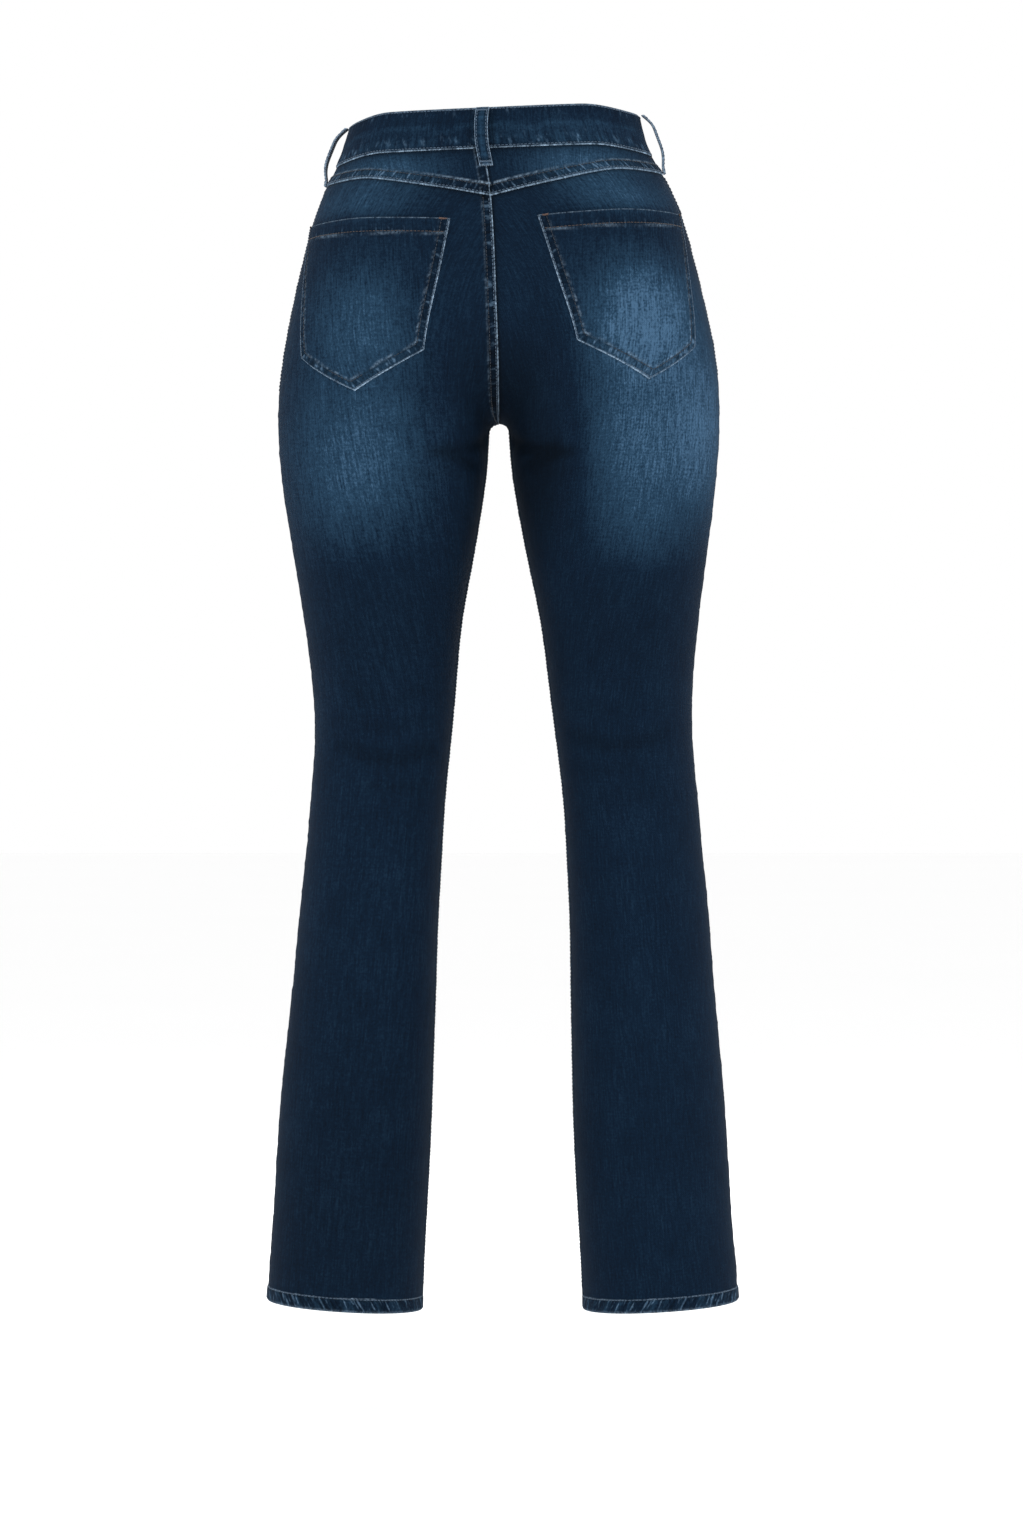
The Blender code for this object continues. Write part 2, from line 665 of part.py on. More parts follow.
def make_belt_loops(denim, root):
    """Five loops: centre back, both side seams and both fronts."""
    front = share_at(np.array([FRONT_LOOP_FROM_CENTRE]), np.array([BAND_SEAM]), FRONT)[0]
    make_belt_loop("belt_loop_back", 0.0, 1, denim, root)
    make_belt_loop("belt_loop_side_left", 1.0, LOOP_BULGE_ASIDE, denim, root)
    make_belt_loop("belt_loop_side_right", 3.0, LOOP_BULGE_ASIDE, denim, root)
    make_belt_loop("belt_loop_front_left", 2 - front, LOOP_BULGE_ASIDE, denim, root)
    make_belt_loop("belt_loop_front_right", 2 + front, LOOP_BULGE_ASIDE, denim, root)


def make_hem(side, denim, root):
    """The turned hem of one leg, a ring a little thicker than the leg above it."""
    z = np.linspace(HEM_SEAM - SEAM_GAP / 2, HEM_EDGE, 3)[:, None]
    half = np.linspace(0, 1, HEM_COLUMNS // 2 + 1)
    rows = [lay(inseam(z + 0 * half[:1]), z + 0 * half, half + 0 * z, face) for face in (BACK, FRONT)]
    ring = np.concatenate([rows[0][:, :-1], rows[1][:, :0:-1]], axis=1)
    lowest = HEM_PROUD - HEM_THICK
    cloth(f"hem_{side_name(side)}", ring, side, denim, root, lowest, HEM_PROUD, ring=True)


def make_button(metal, root):
    """The button on the band, a disc with a rounded rim."""
    across = share_at(np.array([BUTTON_FROM_CENTRE]), np.array([BUTTON_Z]), FRONT)[0]
    centre, side = around(np.array([2 - across]), BUTTON_Z)
    seat = dressed(centre, BAND_PROUD + LAY_GAP, side)[0]
    away = dressed(centre, BAND_PROUD + LAY_GAP + MM, side)[0] - seat
    shape = bmesh.new()
    bmesh.ops.create_cone(
        shape,
        cap_ends=True,
        segments=28,
        radius1=BUTTON_RADIUS,
        radius2=BUTTON_RADIUS,
        depth=BUTTON_HEIGHT,
    )
    rim = [edge for edge in shape.edges if all(corner.co.z > 0 for corner in edge.verts)]
    bmesh.ops.bevel(shape, geom=rim, offset=0.8 * MM, segments=2, affect="EDGES", profile=0.5)
    turn = Vector(away).to_track_quat("Z", "Y").to_matrix().to_4x4()
    place = Matrix.Translation(Vector(seat)) @ turn @ Matrix.Translation((0, 0, BUTTON_HEIGHT / 2))
    shape.transform(place)
    mesh = bpy.data.meshes.new("waist_button")
    shape.to_mesh(mesh)
    shape.free()
    add_object("waist_button", mesh, metal, root)


def main():
    """Clears the scene and makes every piece."""
    for leftover in list(bpy.data.objects):
        bpy.data.objects.remove(leftover)
    root = bpy.data.objects.new("jeans", None)
    bpy.context.scene.collection.objects.link(root)
    denim = finish("indigo denim", (0.09, 0.16, 0.26), 0.85)
    faded = finish("worn indigo denim", (0.14, 0.23, 0.34), 0.85)
    metal = finish("antique copper", (0.45, 0.30, 0.22), 0.4, 1.0)
    for side in (LEFT, RIGHT):
        make_back(side, denim, root)
        make_front(side, denim, root)
        make_back_pocket(side, faded, root)
        make_hem(side, denim, root)
    make_fly(denim, root)
    make_waistband(denim, root)
    make_belt_loops(faded, root)
    make_button(metal, root)


main()
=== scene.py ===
"""The looks of the worn pair of high-rise bootcut jeans: denim, seams, stitching and the button.

Every sewn piece of the frame is replaced by a finer shell of cloth on the same form. The form is
the one that the part has: a smooth skin round two legs and a seat, found as the zero of
Skin.depth(). A piece is a grid of points on the skin, moved outwards by its folds, its felled
seams and their puckers. The same grid carries the colour: the dye's fades and worn edges, and
the painted shade in hollows, seam grooves and under folded edges. Metres, +Z up, the front faces
-Y and the wearer's left is +X.
"""

import logging
import math
from dataclasses import dataclass, field
from enum import IntEnum
from typing import Callable, Iterable, Sequence

import bmesh
import bpy
import numpy as np
from mathutils import Matrix, Vector


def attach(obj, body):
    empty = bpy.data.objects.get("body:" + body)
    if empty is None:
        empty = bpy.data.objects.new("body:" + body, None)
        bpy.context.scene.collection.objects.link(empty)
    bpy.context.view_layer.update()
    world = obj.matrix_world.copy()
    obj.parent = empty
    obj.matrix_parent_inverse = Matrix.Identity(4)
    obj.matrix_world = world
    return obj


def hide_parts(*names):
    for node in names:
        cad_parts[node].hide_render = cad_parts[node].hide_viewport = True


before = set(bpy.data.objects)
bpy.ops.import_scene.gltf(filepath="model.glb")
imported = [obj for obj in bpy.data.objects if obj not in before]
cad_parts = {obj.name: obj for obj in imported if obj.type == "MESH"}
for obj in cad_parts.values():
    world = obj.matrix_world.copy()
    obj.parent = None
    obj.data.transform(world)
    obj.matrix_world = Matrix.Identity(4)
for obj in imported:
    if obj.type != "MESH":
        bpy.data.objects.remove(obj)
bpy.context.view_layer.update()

log = logging.getLogger("jeans")

Array = np.ndarray
Table = Sequence[Sequence[float]]

MM = 0.001


class Side(IntEnum):
    """The wearer's side, as the sign of X."""

    LEFT = 1
    RIGHT = -1

    @property
    def word(self) -> str:
        """The side's name, as the nodes have it."""
        return self.name.lower()


class Face(IntEnum):
    """The back or the front of the body, as the sign of Y."""

    BACK = 1
    FRONT = -1


LEFT, RIGHT = Side.LEFT, Side.RIGHT
BACK, FRONT = Face.BACK, Face.FRONT

# The form, as in the part: heights of the seams (m), then the tables of the skin (mm)
BAND_TOP = 2 * MM
BAND_SEAM = -35 * MM
YOKE_AT_BACK = -78 * MM
YOKE_AT_SIDE = -52 * MM
YOKE_CURVE = 2
CROTCH = -270.6 * MM
HEM_SEAM = -1053 * MM
HEM_EDGE = -1066 * MM
ROUNDNESS = 2.1
CROTCH_Y = -2 * MM
FORK_HEIGHT = 100 * MM
FORK_FLAT = 0.3
OVAL_FROM = -150 * MM
OVAL_ABOVE = -30 * MM

# Height, then one leg's reach: outwards, inwards, to the front and to the back
SECTIONS = (
    (10, 128.5, -28.5, -87.5, 87.5),
    (0, 131, -28, -89, 89),
    (-27, 139, -26, -94, 94),
    (-60, 155.5, -22, -99, 103),
    (-87, 166, -17, -102, 110),
    (-114, 173.5, -12, -103, 116),
    (-141, 180, -8, -104, 121),
    (-168, 186, -4, -104, 124),
    (-195, 191.5, 0, -103, 125),
    (-222, 196, 3, -103, 122),
    (-250, 198.5, 6, -103, 115),
    (-277, 199, 9.5, -104, 106),
    (-304, 197.7, 11.3, -105, 98.5),
    (-331, 195, 14.5, -105, 93),
    (-358, 191.4, 19, -104, 88),
    (-395, 186, 25.8, -101, 81),
    (-449, 178.3, 36.2, -95, 72),
    (-503, 172.4, 42.5, -89, 64),
    (-557, 171, 48.4, -82, 59),
    (-612, 175, 54.3, -76, 65),
    (-666, 179.6, 57.5, -72.5, 71),
    (-720, 185, 60.2, -70, 76),
    (-775, 189.6, 61.5, -68, 78),
    (-829, 195, 62.9, -67, 79),
    (-883, 200, 64.3, -67, 80),
    (-938, 203.6, 66.5, -67, 80.5),
    (-992, 206.8, 69.7, -67.5, 81.5),
    (-1046, 210.9, 72.4, -69, 83),
    (-1080, 213, 73, -70, 84),
)
# Height, then how far back and how far forward the rise seam runs
RISE = (
    (10, 88, -88),
    (-60, 100, -96),
    (-110, 107, -100),
    (-160, 111, -101),
    (-200, 110, -99),
    (-240, 103, -95),
    (-280, 94, -90),
)
# Height, then how softly the legs and the fork run into one another
BLEND = ((0, 34), (-100, 34), (-180, 30), (-230, 18), (-262, 10), (-300, 9), (-1100, 8))
# Height, then the sway towards +X, the lean (drop for each metre of +X) and the turn (degrees)
STANCE = (
    (10, 0, 30, -6.3),
    (-27, 1.2, 30, -5.8),
    (-60, -0.3, 31, -3.4),
    (-87, -1.3, 32, -2.2),
    (-168, -2.3, 36, -0.6),
    (-223, -3.1, 39, 0),
    (-277, -3.6, 30, 0),
    (-395, -4.9, 6, 0),
    (-470, -6.1, 0, 0),
    (-557, -7.8, 0, 0),
    (-883, -6.8, 0, 0),
    (-1100, -7.2, 0, 0),
)
HEM_SLOPE = 0.063
HEM_SLOPE_TOP = -900 * MM
LEG_MIDDLE = 142 * MM
WAIST_LIFT = 2.2 * MM
LIFT_ASIDE = 5 * MM
LIFT_EDGE = 0.35
LIFT_FROM = -130 * MM
LIFT_ABOVE = -60 * MM
LEG_TOP = -335 * MM
FORK_SIDE = -215 * MM
FORK_CENTRE = -205 * MM
FORK_LIFT = 50 * MM

# Creases: side, face, start, bend and end as seen (x from the middle, z), half width, depth (mm).
# The first ten are the part's own folds, and a ridge has a negative depth.
CREASES = (
    (LEFT, BACK, (6, -280), (26, -297), (54, -295), 5.5, 2.6),
    (LEFT, BACK, (20, -316), (36, -305), (68, -300), 5.5, 2.4),
    (RIGHT, BACK, (6, -281), (30, -300), (58, -294), 5.5, 2.8),
    (RIGHT, BACK, (24, -315), (44, -307), (72, -302), 5.5, 2.2),
    (LEFT, FRONT, (10, -262), (52, -236), (104, -222), 7, 2.2),
    (RIGHT, FRONT, (10, -262), (48, -240), (98, -229), 7, 2.4),
    (LEFT, FRONT, (14, -286), (54, -276), (92, -270), 6, 1.8),
    (RIGHT, FRONT, (14, -288), (58, -280), (98, -272), 6, 1.8),
    (LEFT, BACK, (60, -560), (104, -574), (150, -556), 8, 1.8),
    (RIGHT, BACK, (58, -548), (100, -562), (148, -548), 8, 1.8),
    (LEFT, BACK, (16, -303), (34, -299), (60, -291), 3.2, -0.9),
    (RIGHT, BACK, (18, -306), (40, -301), (66, -291), 3.2, -1.1),
    (LEFT, BACK, (30, -322), (52, -318), (84, -322), 6, 0.7),
    (RIGHT, BACK, (34, -324), (60, -320), (90, -326), 6, 0.6),
    (LEFT, BACK, (64, -508), (96, -520), (142, -510), 7, 0.8),
    (LEFT, BACK, (66, -534), (112, -546), (152, -534), 7, 0.9),
    (LEFT, BACK, (64, -592), (96, -600), (130, -594), 8, 0.7),
    (RIGHT, BACK, (60, -524), (90, -532), (122, -526), 7, 0.7),
    (RIGHT, BACK, (60, -574), (86, -584), (126, -574), 6, 0.9),
    (RIGHT, BACK, (66, -604), (100, -610), (134, -602), 8, 0.6),
    (LEFT, FRONT, (34, -214), (78, -196), (124, -180), 6, 1.0),
    (RIGHT, FRONT, (30, -218), (82, -200), (118, -184), 6, 0.9),
    (LEFT, FRONT, (70, -548), (108, -540), (150, -552), 9, 0.9),
    (RIGHT, FRONT, (66, -556), (110, -546), (148, -560), 9, 1.0),
    (LEFT, FRONT, (66, -592), (104, -600), (146, -590), 9, 0.8),
    (RIGHT, FRONT, (70, -598), (112, -604), (150, -592), 9, 0.8),
)
CREASE_TAPER = 12 * MM
CREASE_ROUND_SIDE = 25 * MM

# Fades of the wash: face, middle (x, z), half width, half height (mm) and strength.
# A place with a strength below 0 is painted darker than the rest, with the near-black of the painted shade:
# at the seat's middle and the inner right thigh it is painted shade between the legs, elsewhere a darker patch.
FADES = (
    (BACK, (96, -52), 46, 16, 0.46),
    (BACK, (118, -80), 42, 13, 0.32),
    (BACK, (-80, -46), 48, 17, 0.50),
    (BACK, (-112, -74), 44, 14, 0.40),
    (BACK, (-62, -14), 60, 12, 0.16),
    (BACK, (118, -190), 44, 48, 0.42),
    (BACK, (122, -305), 54, 66, 0.54),
    (BACK, (-132, -180), 42, 44, 0.84),
    (BACK, (-136, -228), 46, 56, 0.42),
    (BACK, (-132, -305), 44, 60, 0.56),
    (BACK, (-128, -368), 40, 34, 0.16),
    (BACK, (-186, -280), 26, 64, 0.74),
    (BACK, (-16, -238), 34, 36, -0.50),
    (BACK, (-34, -325), 32, 60, -0.75),
    (BACK, (100, -460), 70, 50, -0.20),
    (BACK, (-110, -460), 70, 50, -0.20),
    (BACK, (140, -960), 80, 150, -0.25),
    (FRONT, (104, -330), 46, 120, 0.60),
    (FRONT, (-112, -330), 46, 120, 0.60),
    (FRONT, (112, -575), 40, 60, 0.20),
    (FRONT, (-120, -575), 40, 60, 0.20),
)


def ease(share: Array) -> Array:
    """A share between 0 and 1 that starts and ends softly."""
    share = np.clip(share, 0, 1)
    return share * share * (3 - 2 * share)


def bell(distance: Array, width: float) -> Array:
    """1 where the distance is 0, fading out softly over the width."""
    return np.exp(-((distance / width) ** 2))


def unit(vectors: Array) -> Array:
    """Vectors of length 1."""
    return vectors / np.maximum(np.linalg.norm(vectors, axis=-1, keepdims=True), 1e-12)


def run_along(points: Array) -> Array:
    """How far along a line of points, or along each of several, every point lies."""
    steps = np.linalg.norm(np.diff(points, axis=-2), axis=-1)
    return np.concatenate([np.zeros_like(steps[..., :1]), np.cumsum(steps, axis=-1)], axis=-1)


class Curve:
    """The smooth curve (a natural cubic spline) of one column of a table over its heights."""

    def __init__(self, table: Table, column: int, scale: float = MM) -> None:
        """Fits the curve.

        Args:
            table: rows that start with a height in mm.
            column: which value of a row the curve follows.
            scale: turns the value into the curve's unit.
        """
        rows = sorted(table)
        self.at = np.array([row[0] for row in rows], float) * MM
        self.value = np.array([row[column] for row in rows], float) * scale
        self.step = np.diff(self.at)
        slope = np.diff(self.value) / self.step
        matrix = np.eye(len(self.at))
        right = np.zeros(len(self.at))
        for i in range(1, len(self.at) - 1):
            matrix[i, i - 1] = self.step[i - 1]
            matrix[i, i] = 2 * (self.step[i - 1] + self.step[i])
            matrix[i, i + 1] = self.step[i]
            right[i] = 6 * (slope[i] - slope[i - 1])
        self.bend = np.linalg.solve(matrix, right)

    def __call__(self, height: Array) -> Array:
        """The curve's value at a height."""
        height = np.clip(height, self.at[0], self.at[-1])
        i = np.clip(np.searchsorted(self.at, height) - 1, 0, len(self.step) - 1)
        below = height - self.at[i]
        above = self.at[i + 1] - height
        step, bend = self.step[i], self.bend
        cubic = (bend[i] * above**3 + bend[i + 1] * below**3) / (6 * step)
        start = (self.value[i] / step - bend[i] * step / 6) * above
        end = (self.value[i + 1] / step - bend[i + 1] * step / 6) * below
        return cubic + start + end


class Skin:
    """The smooth form that the cloth lies on, as the part has it."""

    def __init__(self) -> None:
        """Reads the tables."""
        self.outer, self.inner, self.fore, self.rear = (Curve(SECTIONS, i) for i in (1, 2, 3, 4))
        self.rise_rear, self.rise_fore = (Curve(RISE, i) for i in (1, 2))
        self.softness = Curve(BLEND, 1)
        self.sway = Curve(STANCE, 1)
        self.lean = Curve(STANCE, 2)
        self.turn = Curve(STANCE, 3, math.radians(1))

    def axis(self, z: Array) -> tuple[Array, Array]:
        """The middle of a leg's section at height z."""
        return (self.outer(z) + self.inner(z)) / 2, (self.fore(z) + self.rear(z)) / 2

    def radii(self, z: Array) -> tuple[Array, Array]:
        """Half the width and half the depth of a leg's section at height z."""
        return (self.outer(z) - self.inner(z)) / 2, (self.rear(z) - self.fore(z)) / 2

    def depth(self, points: Array) -> Array:
        """How far points lie outside the skin (above 0) or inside it (below 0)."""
        x = np.abs(points[..., 0])
        y = points[..., 1]
        z = points[..., 2]
        middle_x, middle_y = self.axis(z)
        half_width, half_depth = self.radii(z)
        leg = _outside(x - middle_x, y - middle_y, half_width, half_depth)
        rear = self.rise_rear(z) - CROTCH_Y
        reach = np.where(y > CROTCH_Y, rear, CROTCH_Y - self.rise_fore(z))
        under = np.clip((CROTCH + FORK_HEIGHT - z) / FORK_HEIGHT, 0, None)
        aside = np.clip(x / middle_x - FORK_FLAT, 0, None)
        ahead = (y - CROTCH_Y) / reach
        fork = (np.sqrt(ahead**2 + under**2 + aside**2) - 1) * FORK_HEIGHT
        soft = self.softness(z)
        mix = np.clip(0.5 + 0.5 * (fork - leg) / soft, 0, 1)
        seat = fork + (leg - fork) * mix - soft * mix * (1 - mix)
        waist = _outside(x, y - middle_y, self.outer(z), half_depth)
        high = ease((z - OVAL_FROM) / (OVAL_ABOVE - OVAL_FROM))
        return seat + (waist - seat) * high

    def outward(self, points: Array, step: float = 0.2 * MM) -> Array:
        """The skin's outward direction at points."""
        axes = np.eye(3)
        rise = [self.depth(points + step * a) - self.depth(points - step * a) for a in axes]
        return unit(np.stack(rise, -1))

    def cast(self, origin: Array, target: Array, reach: float = 3.0, halvings: int = 30) -> Array:
        """Where the way from origin through target meets the skin, on its own side of X = 0."""
        way = target - origin
        inwards = way[..., 0] < -1e-9
        to_middle = origin[..., 0] / np.where(inwards, -way[..., 0], 1)
        far = np.where(inwards, np.minimum(reach, to_middle), reach)
        near = np.zeros_like(far)
        for _ in range(halvings):
            middle = (near + far) / 2
            inside = self.depth(origin + middle[..., None] * way) < 0
            near = np.where(inside, middle, near)
            far = np.where(inside, far, middle)
        return origin + near[..., None] * way

    def lay(self, edge: Array, z: Array, across: Array, face: int | Array, lift=0.0) -> Array:
        """Points of the skin at heights z.

        Args:
            edge: the centre seam's or inseam's point of each row.
            z: the heights.
            across: 0 at that seam, 1 at the side seam.
            face: BACK or FRONT, or an array of them.
            lift: how far above a point, near the edge, it is seen from.

        Returns:
            The points, on the side +X.
        """
        edge_x, edge_y = self.axis(edge[..., 2])
        start = np.arctan2(face * (edge[..., 1] - edge_y), edge[..., 0] - edge_x)
        start = np.where(start <= 0, math.pi, start)
        target = self._section(start * (1 - across), z, face)
        off = edge - self._section(start, edge[..., 2], face)
        target = target + off * ((1 - across) ** 3)[..., None]
        seen_from = z + lift * (1 - across) ** 2
        origin = np.stack([*self.axis(seen_from), seen_from], -1)
        return self.cast(origin, target)

    def _section(self, angle: Array, z: Array, face: int | Array) -> Array:
        """Points of the leg's own section, at an angle from straight outwards."""
        middle_x, middle_y = self.axis(z)
        half_width, half_depth = self.radii(z)
        aside = np.abs(np.cos(angle) / half_width) ** ROUNDNESS
        ahead = np.abs(np.sin(angle) / half_depth) ** ROUNDNESS
        radius = (aside + ahead) ** (-1 / ROUNDNESS)
        x = middle_x + radius * np.cos(angle)
        y = middle_y + face * radius * np.sin(angle)
        return np.stack(np.broadcast_arrays(x, y, z), -1)

    def inseam(self, z: Array) -> Array:
        """The inseam's points at heights z, below the crotch."""
        return np.stack([self.inner(z), self.axis(z)[1], z], -1)

    def rise(self, z: Array, face: int | Array) -> Array:
        """The centre seam's points at heights z, behind or in front."""
        z = np.asarray(z, float)
        middle = np.stack([0 * z, CROTCH_Y + 0 * z, z], -1)
        ahead = np.stack([0 * z, face * 50 * MM + 0 * z, 0 * z], -1)
        return self.cast(middle, middle + ahead)

    def fork_edge(self, face: Face, inseam_rows: int, rise_rows: int, samples=240) -> Array:
        """The seam from the inseam at LEG_TOP through the crotch point up to FORK_CENTRE."""
        turn = np.linspace(0, 1, samples)[:, None]
        crotch = np.array([0, CROTCH_Y, CROTCH])
        hub = np.array([self.axis(CROTCH)[0], CROTCH_Y, CROTCH + FORK_LIFT])
        low = unit(self.inseam(LEG_TOP) - hub)
        high = unit(crotch - hub)
        legs = self.cast(hub + 0 * turn, hub + (low * (1 - turn) + high * turn) * 100 * MM)
        centre = crotch + [0, 0, FORK_HEIGHT]
        top = self.rise(FORK_CENTRE, face) - centre
        angle = np.linspace(-math.pi / 2, math.atan2(top[2], abs(top[1])), samples)
        way = np.stack([0 * angle, face * np.cos(angle), np.sin(angle)], -1) * 100 * MM
        seat = self.cast(centre + 0 * way, centre + way)
        return np.concatenate([_even(legs, inseam_rows + 1), _even(seat, rise_rows + 1)[1:]])

    def level(self, z: Array, across: Array, face: int | Array) -> Array:
        """Points of the skin above the crotch at heights z and shares across."""
        z, across, face = np.broadcast_arrays(np.asarray(z, float), across, face)
        return self.lay(self.rise(z, face), z, across, face)

    def lengths(self, z: float, face: Face, samples: int = 121) -> tuple[Array, Array]:
        """Shares across one row, and how far along the cloth each lies from the centre seam."""
        across = np.linspace(0, 1, samples)
        return across, run_along(self.level(z, across, face))

    def share_at(self, distance: Array, z: Array, face: Face) -> Array:
        """The share across at a distance along the cloth from the centre seam."""
        distance, z = np.broadcast_arrays(np.asarray(distance, float), z)
        heights = np.linspace(z.min() - MM, z.max() + MM, 14)
        shares = []
        for height in heights:
            across, run = self.lengths(height, face)
            shares.append(np.interp(distance.ravel(), run, across))
        shares = np.array(shares)
        place = (z.ravel() - heights[0]) / (heights[1] - heights[0])
        row = np.clip(place.astype(int), 0, len(heights) - 2)
        part = place - row
        column = np.arange(distance.size)
        share = shares[row, column] * (1 - part) + shares[row + 1, column] * part
        return share.reshape(distance.shape)

    def around(self, quarter: Array, z: Array) -> tuple[Array, Array]:
        """Points round the waist and their sides, for quarters from centre back over the left."""
        quarter, z = np.broadcast_arrays(np.mod(quarter, 4), z)
        face = np.where((quarter < 1) | (quarter >= 3), int(BACK), int(FRONT))
        side = np.where(quarter < 2, int(LEFT), int(RIGHT))
        return self.level(z, 1 - np.abs(np.mod(quarter, 2) - 1), face), side

    def creases(self, points: Array, side: Side | Array) -> Array:
        """How far the creases move points of one side outwards."""
        total = np.zeros(points.shape[:-1])
        from_middle = points[..., 1] - self.axis(points[..., 2])[1]
        t = np.linspace(0, 1, 31)[:, None]
        for crease_side, face, start, bend, end, width, deep in CREASES:
            start, bend, end = (np.array(corner) * MM for corner in (start, bend, end))
            bow = (bend - (start + end) / 2) * 4
            path = start * (1 - t) + end * t + bow * t * (1 - t)
            low = path.min(axis=0) - 5 * width * MM
            high = path.max(axis=0) + 5 * width * MM
            seen = points[..., [0, 2]]
            near = ((seen > low) & (seen < high)).all(-1) & (side == crease_side)
            if not near.any():
                continue
            gap = np.linalg.norm(seen[near][:, None, :] - path, axis=-1)
            nearest = gap.argmin(-1)
            from_end = np.minimum(nearest, 30 - nearest) / 30 * np.linalg.norm(end - start)
            fade = ease(0.25 + from_end / CREASE_TAPER)
            fade = fade * ease(face * from_middle[near] / CREASE_ROUND_SIDE)
            total[near] -= deep * MM * fade * bell(gap.min(-1), width * MM)
        return total

    def stance(self, points: Array) -> Array:
        """The worn pair's sway, lean and turn, and the slope of its hems."""
        x, y, z = points[..., 0], points[..., 1], points[..., 2]
        turn = self.turn(z)
        turned_x = x * np.cos(turn) - y * np.sin(turn)
        turned_y = x * np.sin(turn) + y * np.cos(turn)
        low = ease((HEM_SLOPE_TOP - z) / (HEM_SLOPE_TOP - HEM_EDGE))
        slope = HEM_SLOPE * low * (np.abs(x) - LEG_MIDDLE)
        aside = np.abs(x) / self.outer(z)
        lift = (WAIST_LIFT + LIFT_ASIDE * aside**2) * ease((1 - aside) / LIFT_EDGE) * (y > 0)
        lift = lift * ease((z - LIFT_FROM) / (LIFT_ABOVE - LIFT_FROM))
        moved_z = z - self.lean(z) * turned_x + slope + lift
        return np.stack([turned_x + self.sway(z), turned_y, moved_z], -1)

    def worn(self, grid: Array, height: Array, side: Side | Array) -> Array:
        """Points of the worn pair, height outside the skin's grid, on one side of the body."""
        points = grid + self.outward(grid) * np.asarray(height)[..., None]
        points[..., 0] *= side
        return self.stance(points)


def _outside(across: Array, along: Array, half_width: Array, half_depth: Array) -> Array:
    """How far a place lies outside a rounded section, from its middle."""
    share = np.abs(across / half_width) ** ROUNDNESS + np.abs(along / half_depth) ** ROUNDNESS
    return (share ** (1 / ROUNDNESS) - 1) * np.minimum(half_width, half_depth)


def _even(line: Array, count: int) -> Array:
    """count points at even distances along a line of points."""
    run = run_along(line)
    share = np.linspace(0, run[-1], count)
    return np.stack([np.interp(share, run, line[:, axis]) for axis in range(3)], -1)


SKIN = Skin()


class Ripple:
    """An uneven row of soft waves along a line, the same on every run."""

    def __init__(self, seed: int, lengths: Sequence[float]) -> None:
        """Draws the waves.

        Args:
            seed: which of the possible rows this is.
            lengths: the wavelengths it mixes, in mm.
        """
        random = np.random.default_rng(seed)
        self.lengths = np.array(lengths) * MM
        self.phases = random.uniform(0, 2 * math.pi, len(lengths))

    def __call__(self, along: Array) -> Array:
        """The waves' height at a place along the line, from about -1 to 1."""
        turns = 2 * math.pi * np.asarray(along)[..., None] / self.lengths + self.phases
        return np.sin(turns).sum(-1) / math.sqrt(2 * len(self.lengths))


@dataclass
class Dye:
    """What the cloth's colour shows at every point of a grid, each from 0 to 1: the dye's fade, the worn edges, and
    deep, the painted shade in hollows, grooves, under folded edges and between the legs.
    """

    fade: Array
    worn: Array
    # painted shade: how far the colour is darkened towards near-black
    deep: Array
    sewn: Array = field(init=False)

    def __post_init__(self) -> None:
        """Starts with no seam: sewn holds the way along one, the way off it and how it gathers."""
        self.sewn = np.zeros((*np.broadcast(self.fade, self.worn, self.deep).shape, 3))

    def pucker(self, along: Array, off: Array, amount: Array) -> None:
        """Gathers the cloth along a seam, where no other seam gathers it more."""
        seam = np.stack(np.broadcast_arrays(along, off, amount), -1)
        more = seam[..., 2] > self.sewn[..., 2]
        self.sewn[more] = seam[more]

    @classmethod
    def of(cls, points: Array, outward: Array) -> "Dye":
        """The wash's own fades at points of the worn pair, with no worn edges yet, and painted shade where a
        place's strength is below 0.
        """
        fade = np.zeros(points.shape[:-1])
        for face, (x, z), half_width, half_height, strength in FADES:
            facing = ease(0.5 + 1.4 * face * outward[..., 1])
            beside = (points[..., 0] - x * MM) / (half_width * MM)
            above = (points[..., 2] - z * MM) / (half_height * MM)
            fade += strength * facing * np.exp(-np.abs(beside) ** 2.2 - np.abs(above) ** 2.2)
        shown = 1 - np.exp(-1.25 * np.maximum(fade, 0))
        # Strengths below 0 go into deep, as painted shade
        return cls(shown, np.zeros_like(fade), np.maximum(-fade, 0))


